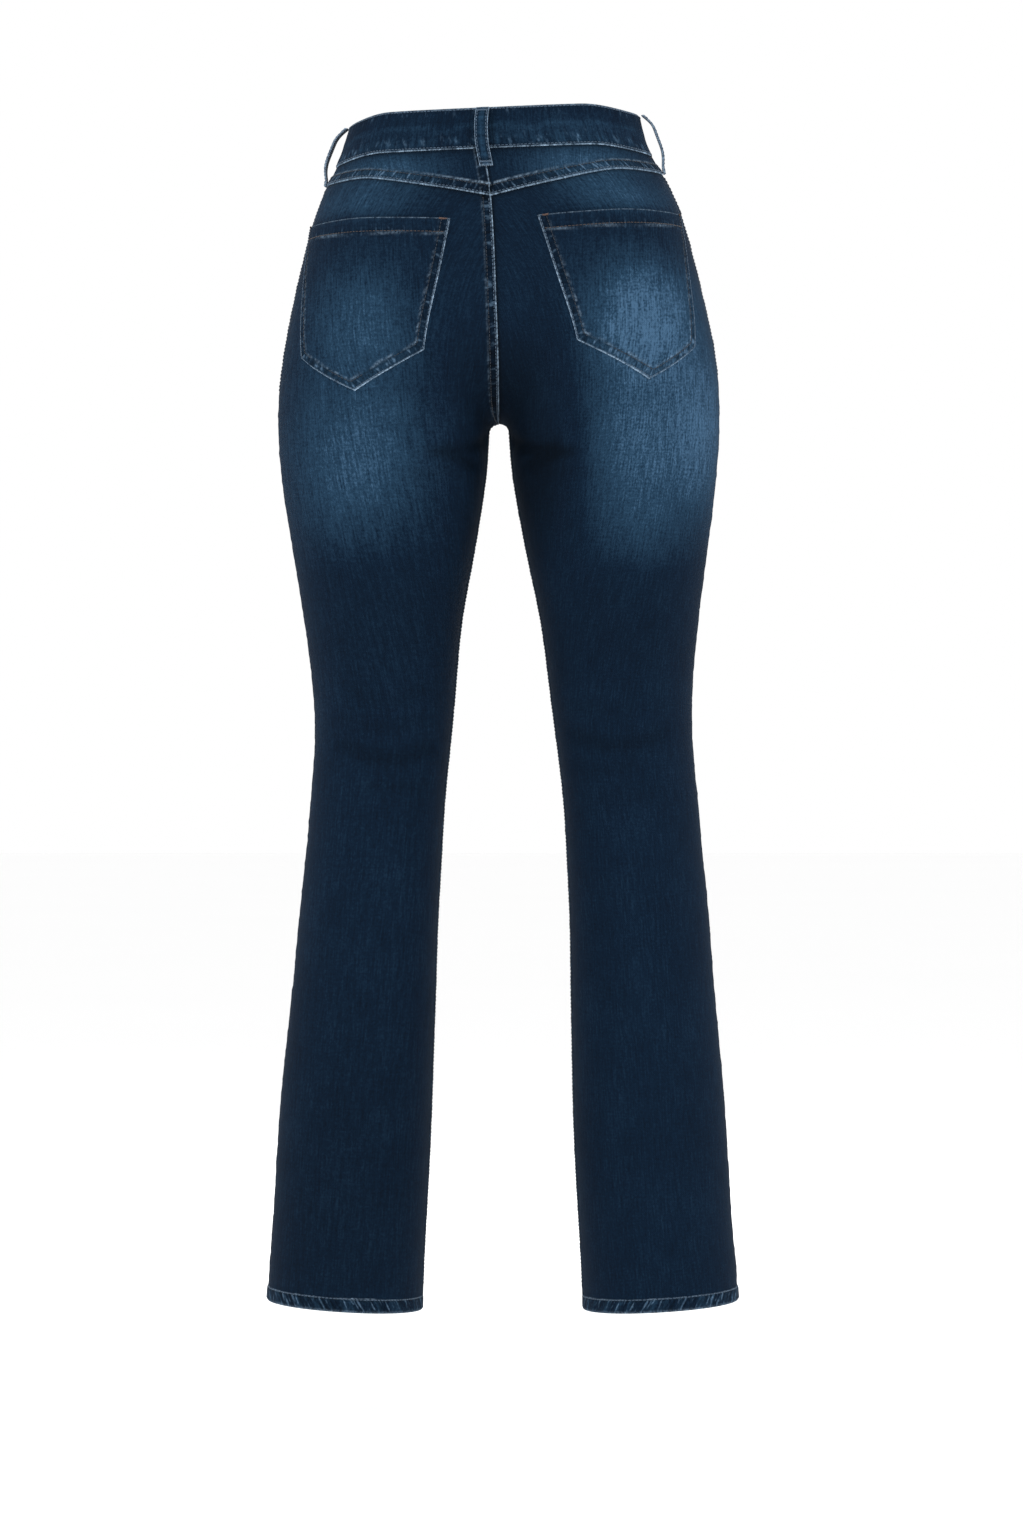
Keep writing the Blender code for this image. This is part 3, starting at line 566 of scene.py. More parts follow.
@dataclass
class Cloth:
    """One sewn piece as a grid: rows run up the garment and columns across it."""

    name: str
    outer: Array
    inner: Array
    weave: Array
    dye: Dye
    ring: bool = False
    normals: Array = field(init=False)

    def __post_init__(self) -> None:
        """Works out which way the outer side faces."""
        rows = np.gradient(self.outer, axis=0)
        columns = np.gradient(self.outer, axis=1)
        normals = unit(np.cross(columns, rows))
        outwards = (normals * (self.outer - self.inner)).sum(-1, keepdims=True)
        self.normals = normals * np.where(outwards < 0, -1, 1)

    def trace(self, row: Array, column: Array) -> tuple[Array, Array]:
        """Points and directions of the outer side at places between rows and columns."""
        row, column = np.broadcast_arrays(np.asarray(row, float), np.asarray(column, float))
        row = np.clip(row, 0, self.outer.shape[0] - 1)
        column = np.clip(column, 0, self.outer.shape[1] - 1)
        i = np.clip(row.astype(int), 0, self.outer.shape[0] - 2)
        j = np.clip(column.astype(int), 0, self.outer.shape[1] - 2)
        u = (row - i)[..., None]
        v = (column - j)[..., None]

        def between(values: Array) -> Array:
            low = values[i, j] * (1 - v) + values[i, j + 1] * v
            high = values[i + 1, j] * (1 - v) + values[i + 1, j + 1] * v
            return low * (1 - u) + high * u

        return between(self.outer), unit(between(self.normals))

    def build(self, material: bpy.types.Material, nodes: Sequence[str], slot: str) -> bpy.types.Object:
        """Makes the closed shell in the scene.

        Args:
            material: its denim.
            nodes: the frame's nodes that it stands for.
            slot: the record's material slot; not used.

        Returns:
            The object.
        """
        rows, columns = self.outer.shape[:2]
        index = np.arange(rows * columns).reshape(rows, columns)
        if self.ring:
            index = np.concatenate([index, index[:, :1]], axis=1)
        back = index + rows * columns
        squares = np.stack([index[:-1, :-1], index[:-1, 1:], index[1:, 1:], index[1:, :-1]], -1)
        faces = [squares.reshape(-1, 4), (squares + rows * columns)[..., ::-1].reshape(-1, 4)]
        borders = [(index[0], back[0]), (index[-1, ::-1], back[-1, ::-1])]
        if not self.ring:
            borders += [(index[::-1, 0], back[::-1, 0]), (index[:, -1], back[:, -1])]
        for front, behind in borders:
            faces.append(np.stack([front[1:], front[:-1], behind[:-1], behind[1:]], -1))
        points = np.concatenate([self.outer.reshape(-1, 3), self.inner.reshape(-1, 3)])
        faces = np.concatenate(faces)
        first = points[faces[0]]
        facing = np.cross(first[1] - first[0], first[2] - first[1])
        if facing @ self.normals[0, 0] < 0:
            faces = faces[:, ::-1]
        mesh = new_mesh(self.name, points, faces)
        for key, values in (("weave", self.weave), ("sewn", self.dye.sewn)):
            twice = np.concatenate([values.reshape(-1, 3)] * 2)
            mesh.attributes.new(key, "FLOAT_VECTOR", "POINT").data.foreach_set("vector", twice.ravel())
        inside = np.repeat([0.0, 1.0], rows * columns)
        painted = {"inside": inside}
        # deep holds the painted shade
        for key in ("fade", "worn", "deep"):
            values = np.clip(getattr(self.dye, key), 0, 1).ravel()
            painted[key] = np.concatenate([values, values])
        for key, values in painted.items():
            mesh.attributes.new(key, "FLOAT", "POINT").data.foreach_set("value", values)
        piece = add_piece(self.name, mesh, material)
        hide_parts(*nodes)
        log.info("%s: %d rows, %d columns", self.name, rows, columns)
        return piece

    def declare(self) -> None:
        """States the flat size that shows: the widest row, the longest column and the area."""
        grid = self.outer
        if self.ring:
            grid = np.concatenate([grid, grid[:, :1]], axis=1)
        width = run_along(grid)[:, -1].max()
        length = run_along(grid.swapaxes(0, 1))[:, -1].max()
        across = grid[1:, 1:] - grid[:-1, :-1]
        other = grid[1:, :-1] - grid[:-1, 1:]
        area = np.linalg.norm(np.cross(across, other), axis=-1).sum() / 2
        area = float(np.clip(area, 0.31 * width * length, width * length))
        log.info("%s: flat %.3f x %.3f m, %.4f m2", self.name, width, length, area)


def new_mesh(name: str, points: Array, faces: Array) -> bpy.types.Mesh:
    """A mesh of squares or triangles, shaded smooth but for its rims."""
    mesh = bpy.data.meshes.new(name)
    mesh.from_pydata(np.asarray(points).tolist(), [], np.asarray(faces).tolist())
    mesh.shade_smooth()
    mesh.set_sharp_from_angle(angle=math.radians(70))
    return mesh


def add_piece(name: str, mesh: bpy.types.Mesh, material: bpy.types.Material) -> bpy.types.Object:
    """Puts a mesh into the scene, riding on the garment."""
    mesh.materials.append(material)
    piece = bpy.data.objects.new(name, mesh)
    bpy.context.scene.collection.objects.link(piece)
    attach(piece, "root")
    return piece


# How finely the cloth is drawn: distances of the first columns or rows from a seam (mm)
SEAM_STEPS = (0, 0.5, 1.1, 2, 3.2, 4.6, 6, 7.3, 8.6, 10, 12)
PANEL_MIDDLE_COLUMNS = 52
LEG_ROWS = 170
INSEAM_ROWS = 18
RISE_ROWS = 27
SEAT_ROWS = 34
DENIM = 1.5 * MM
GROW = 0.35 * MM                # each piece reaches so far over its seam, to cover the gap


@dataclass(frozen=True)
class Fell:
    """A felled seam: the upper cloth's folded edge, sewn down with two rows of stitches."""

    width: float = 8.6 * MM
    height: float = 0.9 * MM
    edge_row: float = 1.9 * MM
    second_row: float = 7.0 * MM
    pucker: float = 0.45 * MM
    wear: float = 1.0
    far_wear: float = 0.10
    slant: float = 0.2
    close: float = 0.55

    def lift(self, off: Array, along: Array, ripple: Ripple) -> Array:
        """How far the seam raises the cloth.

        Args:
            off: distance from the folded edge.
            along: distance along it.
            ripple: where it puckers.
        """
        step = ease(off / (0.9 * MM)) * (1 - ease((off - self.width + MM) / (2.4 * MM)))
        groove = bell(off - self.edge_row, 0.6 * MM) + bell(off - self.second_row, 0.6 * MM)
        between = bell(off - (self.edge_row + self.second_row) / 2, 2.6 * MM)
        beyond = bell(off - self.width - 2 * MM, 3 * MM)
        waves = ripple(along + 0.35 * off)
        return self.height * step - 0.25 * MM * groove + self.pucker * waves * (between + 0.4 * beyond)

    def paint(self, dye: Dye, off: Array, along: Array, ripple: Ripple, where: Array | float = 1.0) -> None:
        """Wears the folded edge pale, gathers the cloth behind it and paints shade along the stitch rows and the
        puckered band between them.
        """
        waves = ripple(along + 0.35 * off)
        edge = bell(off - 0.2 * MM, 0.42 * MM) * (0.62 + 0.30 * ripple(along * 0.7))
        middle = (self.edge_row + self.second_row) / 2
        between = np.exp(-((off - middle) / (0.55 * self.width)) ** 4)
        far_line = bell(off - self.width - 0.2 * MM, 0.5 * MM) * ease(0.6 + 0.5 * waves)
        dye.worn += where * (self.wear * edge + self.far_wear * far_line)
        rows = bell(off - self.second_row, 0.8 * MM) + bell(off - self.edge_row, 0.7 * MM)
        # Painted shade along both stitch rows and over the puckered band between them
        dye.deep += where * (0.30 * between + 0.45 * rows)
        dye.pucker(self.close * (along + self.slant * off), off, where * between)


def under_edge(dye: Dye, off: Array, where: Array | float = 1.0) -> None:
    """The painted shadow on the lower cloth along another's folded edge."""
    dye.deep += where * (0.9 * bell(off, 2.2 * MM) + 0.25 * bell(off, 7 * MM))


@dataclass
class PanelRows:
    """The rows of a leg panel from the hem seam up, as functions of the share across."""

    face: Face
    top: Callable[[Array], Array]

    def __post_init__(self) -> None:
        """Works out the seam's points and each row's place."""
        self.low = np.linspace(HEM_SEAM, LEG_TOP, LEG_ROWS + 1)[:-1, None]
        self.fork = SKIN.fork_edge(self.face, INSEAM_ROWS, RISE_ROWS)[:, None, :]
        rows = INSEAM_ROWS + RISE_ROWS + 1
        self.share = np.linspace(0, 1, rows)[:, None]
        self.side = LEG_TOP + (FORK_SIDE - LEG_TOP) * self.share
        at_crotch = INSEAM_ROWS / (rows - 1)
        nearness = np.minimum(self.share / at_crotch, (1 - self.share) / (1 - at_crotch))
        self.lift = FORK_LIFT * ease(nearness)
        fine = 1 - np.array(SEAM_STEPS[::-1]) / 150
        self.seat = np.concatenate([np.linspace(0, fine[0], SEAT_ROWS)[1:-1], fine])[:, None]

    @property
    def below_crotch(self) -> int:
        """How many rows start at the inseam."""
        return LEG_ROWS + INSEAM_ROWS

    def place(self, across: Array) -> Array:
        """The rows' points for shares across, one line for all rows or a line for each."""
        count = len(self.low) + len(self.fork) + len(self.seat)
        across = np.broadcast_to(across, (count, np.shape(across)[-1]))
        first, second = len(self.low), len(self.low) + len(self.fork)
        a = across[:first]
        legs = SKIN.lay(SKIN.inseam(self.low), self.low + 0 * a, a, self.face)
        a = across[first:second]
        z = self.fork[..., 2] + (self.side - self.fork[..., 2]) * ease(a)
        fork = SKIN.lay(self.fork, z, a, self.face, self.lift)
        a = across[second:]
        from_z = FORK_CENTRE + (FORK_SIDE - FORK_CENTRE) * ease(a)
        z = from_z * (1 - self.seat) + self.top(a) * self.seat
        seat = SKIN.lay(SKIN.rise(z[:, :1], self.face), z, a, self.face)
        return np.concatenate([legs, fork, seat])


def spread_columns(place: Callable[[Array], Array], middle: int) -> tuple[Array, Array]:
    """Columns close together along both edges of a piece and evenly spread between.

    Args:
        place: gives the points of all rows for shares across.
        middle: how many columns lie between the close ones.

    Returns:
        The grid of points, and how far along its row each lies.
    """
    coarse = np.linspace(0, 1, 49)
    run = run_along(place(coarse))
    steps = np.array(SEAM_STEPS) * MM
    shares = []
    for row in run:
        inner = np.linspace(steps[-1], row[-1] - steps[-1], middle + 2)[1:-1]
        targets = np.concatenate([steps, inner, row[-1] - steps[::-1]])
        shares.append(np.interp(targets, row, coarse))
    grid = place(np.array(shares))
    return grid, run_along(grid)


def reach_over(grid: Array, by: float = GROW) -> Array:
    """A grid whose border is moved outwards a little, over its seams."""
    grown = grid.copy()
    for first, second in ((0, 1), (-1, -2)):
        grown[first] += by * unit(grid[first] - grid[second])
        grown[:, first] += by * unit(grid[:, first] - grid[:, second])
    return grown


SOFT_WAVES = 0.5 * MM


def soft_waves(points: Array, seed: int) -> Array:
    """The faint unevenness that any worn cloth has."""
    along = Ripple(seed, (70, 110, 160, 47))(points[..., 2] + 0.3 * points[..., 0])
    beside = Ripple(seed + 1, (60, 90, 130))(points[..., 0] - 0.4 * points[..., 2])
    return SOFT_WAVES * along * beside


def yoke_line(across: Array) -> Array:
    """Height of the seam between yoke and back panel."""
    return YOKE_AT_SIDE + (YOKE_AT_BACK - YOKE_AT_SIDE) * (1 - across) ** YOKE_CURVE


@dataclass(frozen=True)
class SideSeam:
    """The plain side seam: a groove between the cloths and a ridge where they are turned under."""

    width: float = 7 * MM
    height: float = 0.45 * MM
    pucker: float = 0.35 * MM

    def lift(self, off: Array, along: Array, ripple: Ripple) -> Array:
        """How far the seam raises the cloth at a distance from it."""
        ridge = ease(off / MM) * (1 - ease((off - self.width + 2 * MM) / (3 * MM)))
        waves = ripple(along) * bell(off - 3 * MM, 3 * MM)
        return self.height * ridge + self.pucker * waves - 0.5 * MM * bell(off, 0.7 * MM)

    def paint(self, dye: Dye, off: Array, along: Array, ripple: Ripple) -> None:
        """A pale worn ridge on each side, with painted shade in the groove and at the foot of the ridge."""
        waves = ripple(along)
        dye.worn += 0.12 * bell(off - 2.6 * MM, 1.6 * MM) * ease(0.5 + 0.5 * waves)
        # Painted shade in the seam's groove and at the foot of its ridge
        dye.deep += 0.8 * bell(off, 0.8 * MM) + 0.3 * bell(off - 7.5 * MM, 2 * MM)
        dye.pucker(along, off, 0.22 * bell(off - 3.5 * MM, 3.5 * MM))


@dataclass
class LegPanel:
    """A back or front leg panel, from hem to yoke or to waistband and pocket mouth."""

    side: Side
    face: Face
    top: Callable[[Array], Array]
    mouth: Array | None = None
    fell: Fell = Fell()
    side_seam: SideSeam = SideSeam()

    def cloth(self) -> Cloth:
        """The panel with its seams' ridges, creases and dye."""
        rows = PanelRows(self.face, self.top)
        grid, run = spread_columns(rows.place, PANEL_MIDDLE_COLUMNS)
        self.off_inner = run
        self.off_side = run[:, -1:] - run
        along_inner = run_along(grid[:, 0])[:, None] + 0 * run
        along_side = run_along(grid[:, -1])[:, None] + 0 * run
        self.below_crotch = rows.below_crotch
        seed = 10 + 3 * int(self.side) + int(self.face)
        ripple = Ripple(seed, (6.5, 8.3, 10.7, 17, 29))
        side_ripple = Ripple(seed + 40, (9, 13, 19, 31))
        inseam = 1 - ease((np.arange(len(grid)) - rows.below_crotch + 3) / 6)[:, None]
        felled = self._felled(inseam, grid[:, :1, 2])
        outward = SKIN.outward(grid)
        creases = SKIN.creases(grid, self.side)
        height = creases + soft_waves(grid, seed) * ease(self.off_inner / (30 * MM))
        height += felled * self.fell.lift(self.off_inner, along_inner, ripple)
        height += (1 - felled) * -0.35 * MM * bell(self.off_inner, 1.2 * MM)
        height += self.side_seam.lift(self.off_side, along_side, side_ripple)
        worn_pair = SKIN.worn(reach_over(grid), height, self.side)
        facing = outward * [int(self.side), 1, 1]
        dye = Dye.of(worn_pair, facing)
        self.fell.paint(dye, self.off_inner, along_inner, ripple, felled)
        # Painted shadow along the other panel's folded edge, where this one lies under it
        under_edge(dye, self.off_inner, 1 - felled)
        self.side_seam.paint(dye, self.off_side, along_side, side_ripple)
        # Painted shade in the crease hollows; the crease ridges fade from wear
        dye.deep += np.clip(-creases / (2.4 * MM), 0, 1) * 0.6
        dye.fade += np.clip(creases / (2.4 * MM), 0, 1) * 0.25
        height = height + self._mouth(grid, dye)
        below_top = np.linalg.norm(grid - grid[-1:], axis=-1)
        # Painted shadow under the yoke's or the band's edge
        under_edge(dye, below_top if self.face == BACK else BAND_SEAM - grid[..., 2])
        outer = SKIN.worn(reach_over(grid), height, self.side)
        inner = SKIN.worn(reach_over(grid), np.minimum(height, creases + 0.3 * MM) - DENIM, self.side)
        weave = np.stack([0.37 * seed - self.off_side, grid[..., 2], 0 * run + 0.11 * seed], -1)
        name = "back" if self.face == BACK else "front"
        return Cloth(f"{name}_leg_{self.side.word}_cloth", outer, inner, weave, dye)

    def _felled(self, inseam: Array, z: Array) -> Array:
        """Where this panel's inner edge is the folded one: 1, else 0."""
        if self.face == BACK:
            return inseam if self.side == RIGHT else np.ones_like(inseam)
        below_fly = ease((FLY_END + 4 * MM - z) / (8 * MM))
        return (1 - inseam) * below_fly if self.side == LEFT else np.zeros_like(inseam)

    def _mouth(self, grid: Array, dye: Dye) -> Array:
        """The folded and twice sewn edge of the front pocket's mouth."""
        if self.mouth is None:
            return np.zeros(grid.shape[:-1])
        off = np.full(grid.shape[:-1], 1.0)
        near = grid[..., 2] > -110 * MM
        off[near] = np.linalg.norm(grid[near][:, None] - self.mouth, axis=-1).min(-1)
        self.off_mouth = off
        ripple = Ripple(91, (7, 9, 13, 21))
        along = grid[..., 0] - grid[..., 2]
        fold = Fell(width=9 * MM, height=0.7 * MM, second_row=7.6 * MM, pucker=0.25 * MM)
        fold.paint(dye, off, along, ripple)
        return fold.lift(off, along, ripple)


def mouth_line(count: int) -> tuple[Array, Array]:
    """The front pocket's mouth, from the band to the side seam: shares across and heights."""
    turn = np.linspace(0, math.pi / 2, count)
    z = BAND_SEAM + (MOUTH_AT_SIDE - BAND_SEAM) * np.sin(turn)
    full = np.array([SKIN.lengths(height, FRONT)[1][-1] for height in z])
    distance = full - (full[0] - MOUTH_AT_BAND) * np.cos(turn)
    return SKIN.share_at(distance, z, FRONT), z


MOUTH_AT_BAND = 72 * MM
MOUTH_AT_SIDE = -80 * MM
MOUTH_INSET = 3.2 * MM


@dataclass
class Yoke:
    """One half of the back yoke, whose lower edge is folded over the leg panel."""

    side: Side
    fell: Fell = Fell(10 * MM, MM, second_row=8.4 * MM, pucker=0.4 * MM, far_wear=0.42, slant=0.5, close=1.0)

    def cloth(self) -> Cloth:
        """The yoke with its felled lower edge and centre seam."""
        steps = np.array(SEAM_STEPS)[:, None] * MM
        upper = np.linspace(0, 1, 12)[1:, None]

        def place(across: Array) -> Array:
            across = np.broadcast_to(across, (len(steps) + len(upper), np.shape(across)[-1]))
            line = yoke_line(across)
            low = line[: len(steps)] + steps
            high = low[-1:] + (BAND_SEAM - low[-1:]) * upper
            z = np.concatenate([low, high])
            return SKIN.lay(SKIN.rise(z[:, :1], BACK), z, across, BACK)

        grid, run = spread_columns(place, 44)
        self.off_edge = run_along(grid.swapaxes(0, 1)).T
        along = run_along(grid[0])[None, :] + 0 * run
        up = grid[..., 2] - YOKE_AT_BACK
        ripple = Ripple(60 + int(self.side), (5.5, 7.5, 9.5, 16))
        centre_ripple = Ripple(13 + int(self.side), (6, 8, 12))
        centre = Fell()
        lapped = float(self.side == LEFT)
        height = self.fell.lift(self.off_edge, along, ripple) + lapped * centre.lift(run, up, centre_ripple)
        height += SideSeam().lift(run[:, -1:] - run, up, Ripple(3, (9, 14)))
        outer = SKIN.worn(reach_over(grid), height, self.side)
        dye = Dye.of(outer, SKIN.outward(grid) * [int(self.side), 1, 1])
        self.fell.paint(dye, self.off_edge, along, ripple)
        centre.paint(dye, run, up, centre_ripple, lapped)
        # Painted shadow under the left yoke's folded centre edge, and under the band
        under_edge(dye, run, 1 - lapped)
        under_edge(dye, (BAND_SEAM - grid[..., 2]), 1.0)
        inner = SKIN.worn(reach_over(grid), 0 * height - DENIM, self.side)
        weave = np.stack([run + 1.3, grid[..., 2] + 0.2 * run, 0 * run + 2.0 + int(self.side)], -1)
        return Cloth(f"yoke_{self.side.word}_cloth", outer, inner, weave, dye)


BAND_PROUD = 1.2 * MM
BAND_THICK = 3 * MM
BAND_LAP = 0.03
BAND_UNDERLAP = 0.30
UNDERLAP_RAMP = 0.12
LAY_GAP = 0.6 * MM


@dataclass
class Waistband:
    """The band round the waist, folded at its top and turned under along its lower seam."""

    edge_row: float = 1.9 * MM
    columns: int = 250

    def cloth(self) -> Cloth:
        """The band from its lapped end at centre front to its end under the lap."""
        quarter = np.linspace(2 + BAND_LAP, -2 - BAND_UNDERLAP, self.columns)
        steps = np.array(SEAM_STEPS) * MM
        bottom = BAND_SEAM - 0.3 * MM
        middle = np.linspace(bottom + steps[-1], BAND_TOP - 8.6 * MM, 5)[1:-1]
        z = np.concatenate([bottom + steps, middle, BAND_TOP - steps[:9][::-1]])[:, None]
        grid, side = SKIN.around(quarter, z)
        self.z = z
        under = -(BAND_THICK + LAY_GAP) * ease((BAND_LAP + UNDERLAP_RAMP - 2 - quarter) / UNDERLAP_RAMP)
        along = run_along(grid[0])[None, :] + 0 * z
        self.along = along[0]
        up = z - bottom + 0 * along
        down = BAND_TOP - z + 0 * along
        ripple = Ripple(77, (6.5, 8.5, 11, 19, 33))
        long_ripple = Ripple(78, (40, 66, 90))
        round_off = (1 - ease(up / (1.2 * MM))) * 1.0 * MM + (1 - ease(down / (1.6 * MM))) * 1.1 * MM
        puckers = 0.42 * MM * ripple(along) * bell(up - 5.5 * MM, 4.5 * MM)
        top_puckers = 0.18 * MM * ripple(along * 0.8 + 1) * bell(down - 5 * MM, 4 * MM)
        grooves = bell(up - self.edge_row, 0.6 * MM) + 0.8 * bell(down - self.edge_row, 0.6 * MM)
        fold = 0.22 * MM * bell(up - 20 * MM + 2 * MM * long_ripple(along), 3 * MM)
        high = BAND_PROUD + under + 0 * z - round_off + puckers + top_puckers - 0.28 * MM * grooves + fold
        outer = SKIN.worn(grid, high, side)
        inner = SKIN.worn(grid, BAND_PROUD + under + 0 * z - BAND_THICK, side)
        dye = Dye.of(outer, SKIN.outward(grid) * np.stack([side, 1 + 0 * side, 1 + 0 * side], -1))
        dye.fade *= 0.6
        waves = ripple(along)
        dye.fade += 0.20 * bell(up - 7 * MM, 6 * MM) * ease(0.40 + 0.6 * waves)
        dye.fade += 0.16 * bell(up - 19 * MM + 2 * MM * long_ripple(along), 2.5 * MM)
        # Painted shadow of the back belt loop on the band, on both sides of it
        beside_loop = np.abs(along - np.interp(0, quarter[::-1], along[0, ::-1]))
        dye.deep += 0.55 * bell(beside_loop - 8 * MM, 2.2 * MM)
        dye.worn += bell(up - 0.2 * MM, 0.42 * MM) * (0.62 + 0.30 * ripple(along * 0.6))
        dye.worn += 0.42 * bell(down - 0.5 * MM, 0.6 * MM) * (0.8 + 0.3 * waves)
        # Painted shade in the grooves of both stitch rows
        dye.deep += 0.6 * bell(up - self.edge_row, MM) + 0.4 * bell(down - self.edge_row, MM)
        dye.pucker(0.7 * along + 0.1 * up, up, 0.6 * bell(up - 6 * MM, 6 * MM))
        dye.pucker(along, down, 0.35 * bell(down - 4 * MM, 3 * MM))
        weave = np.stack([along, z + 0 * along, 0 * along + 4.4], -1)
        return Cloth("waistband_cloth", outer, inner, weave, dye)


# Back pockets: the corner, distance from centre back along the cloth, height (mm)
POCKET_CORNERS = {
    LEFT: {
        "top_in": (37, -97),
        "top_out": (203, -91),
        "low_in": (68, -211),
        "point": (142, -245),
        "low_out": (191, -212),
    },
    RIGHT: {
        "top_in": (40, -97),
        "top_out": (201, -92),
        "low_in": (73, -208),
        "point": (148, -244),
        "low_out": (192, -216),
    },
}


@dataclass
class BackPocket:
    """A five-cornered patch pocket with a turned hem and two rows of stitches round it."""

    side: Side
    edge_row: float = 1.8 * MM
    second_row: float = 7.2 * MM
    hem: float = 12 * MM
    lift: float = 0.5 * MM
    thick: float = 1.4 * MM
    columns: int = 71
    rows: int = 71

    def cloth(self) -> Cloth:
        """The pocket, lying on its panel, a little open at the top."""
        corner = {name: np.array(place) * MM for name, place in POCKET_CORNERS[self.side].items()}
        across = self._shares(self.columns, 130)[:, None]
        down = self._shares(self.rows, 125)[:, None, None]
        top = corner["top_in"] * (1 - across) + corner["top_out"] * across
        low_corners = np.array([corner["low_in"], corner["point"], corner["low_out"]])
        low = np.stack([np.interp(across[:, 0], [0, 0.5, 1], column) for column in low_corners.T], -1)
        place = top * (1 - down) + low * down
        grid = SKIN.level(place[..., 1], SKIN.share_at(place[..., 0], place[..., 1], BACK), BACK)
        outline = np.array([corner[name] for name in ("top_in", "low_in", "point", "low_out", "top_out")])
        self.off, self.along = _off_line(place, outline)
        self.off_top, _ = _off_line(place, np.array([corner["top_in"], corner["top_out"]]))
        round_off = (1 - ease(self.off / (0.9 * MM))) * 1.5 * MM
        round_off = round_off + (1 - ease(self.off_top / (0.9 * MM))) * 0.5 * MM
        along = place[..., 0] + place[..., 1] * 1.3
        ripple = Ripple(31 + int(self.side), (5.5, 7.5, 11, 16))
        waves = ripple(along)
        grooves = bell(self.off - self.edge_row, 0.6 * MM) + bell(self.off - self.second_row, 0.6 * MM)
        grooves = grooves + 0.8 * bell(self.off_top - self.hem, 0.6 * MM)
        between = bell(self.off - 4.5 * MM, 2.2 * MM)
        hem_band = ease((self.hem + 2 * MM - self.off_top) / (4 * MM))
        belly = 1.1 * MM * ease(self.off / (30 * MM)) * ease(1.15 - self.off_top / (70 * MM))
        height = self.lift + self.thick - round_off - 0.25 * MM * grooves + 0.32 * MM * waves * between
        height += 0.35 * MM * hem_band * ease(self.off / (3 * MM)) + belly
        height += 0.2 * MM * Ripple(5, (9, 13, 22))(place[..., 0]) * bell(self.off_top - self.hem - MM, 3 * MM)
        outer = SKIN.worn(grid, height, self.side)
        inner = SKIN.worn(grid, np.minimum(height - self.thick, self.lift + belly), self.side)
        dye = Dye.of(outer, SKIN.outward(grid) * [int(self.side), 1, 1])
        self._paint(dye, waves, between, Ripple(52 + int(self.side), (8, 13, 21))(place[..., 0]), place[..., 0])
        weave = np.stack([place[..., 0], place[..., 1], 0 * along + 7.7 + int(self.side)], -1)
        return Cloth(f"back_pocket_{self.side.word}_cloth", outer, inner, weave, dye)

    def _shares(self, count: int, size: float) -> Array:
        """Shares from 0 to 1, close together at both ends, over a size in mm."""
        steps = np.array(SEAM_STEPS) / size
        middle = np.linspace(steps[-1], 1 - steps[-1], count - 2 * len(steps) + 2)[1:-1]
        return np.concatenate([steps, middle, 1 - steps[::-1]])

    def _paint(self, dye: Dye, waves: Array, between: Array, hem_waves: Array, across: Array) -> None:
        """Pale folded edges, dark stitched rows and faded puckers between them, the dark being painted shade in the
        grooves and over the puckered band.
        """
        low = ease((self.off_top - 14 * MM) / (60 * MM))
        edge = bell(self.off - 0.35 * MM, 0.6 * MM)
        dye.worn += edge * (0.74 + 0.34 * waves) * (0.55 + 0.45 * low) * ease(self.off_top / (3 * MM))
        dye.worn += 0.30 * bell(self.off_top - 0.3 * MM, 0.5 * MM) * (0.8 + 0.3 * waves)
        dye.worn += 0.22 * bell(self.off - 8.6 * MM, 0.8 * MM) * ease(0.4 + 0.8 * waves) * (0.2 + low)
        dye.worn += 0.20 * bell(self.off_top - self.hem - 1.3 * MM, 0.6 * MM) * (0.8 + 0.3 * hem_waves)
        # Painted shade over the puckered band
        dye.deep += 0.30 * between
        dye.pucker(0.7 * self.along, self.off, between * (0.7 + 0.3 * low))
        dye.pucker(across, self.off_top, 0.5 * bell(self.off_top - self.hem, 3 * MM))
        # Painted shade in the grooves of the stitch rows and of the hem
        dye.deep += 0.6 * bell(self.off - self.second_row, MM) + 0.4 * bell(self.off - self.edge_row, MM)
        dye.deep += 0.5 * bell(self.off_top - self.hem + 0.2 * MM, 0.9 * MM)


def _off_line(places: Array, corners: Array) -> tuple[Array, Array]:
    """How far flat places lie from a line with corners, and how far along it."""
    off = np.full(places.shape[:-1], 9.0)
    along = np.zeros_like(off)
    before = 0.0
    for start, end in zip(corners[:-1], corners[1:]):
        way = end - start
        share = np.clip(((places - start) @ way) / (way @ way), 0, 1)
        gap = np.linalg.norm(places - start - share[..., None] * way, axis=-1)
        along = np.where(gap < off, before + share * np.linalg.norm(way), along)
        off = np.minimum(off, gap)
        before += np.linalg.norm(way)
    return off, along


# Belt loops: height down the loop, how far its underside stands off the skin (mm)
LOOP_PATH = (
    (1, 2.2),
    (-3, 4.6),
    (-9, 7.4),
    (-17, 8.6),
    (-27, 8.8),
    (-36, 7.8),
    (-43, 5),
    (-48, 2.2),
    (-52, 1),
)
LOOP_BULGE_ASIDE = 1.25
FRONT_LOOP_FROM_CENTRE = 62 * MM


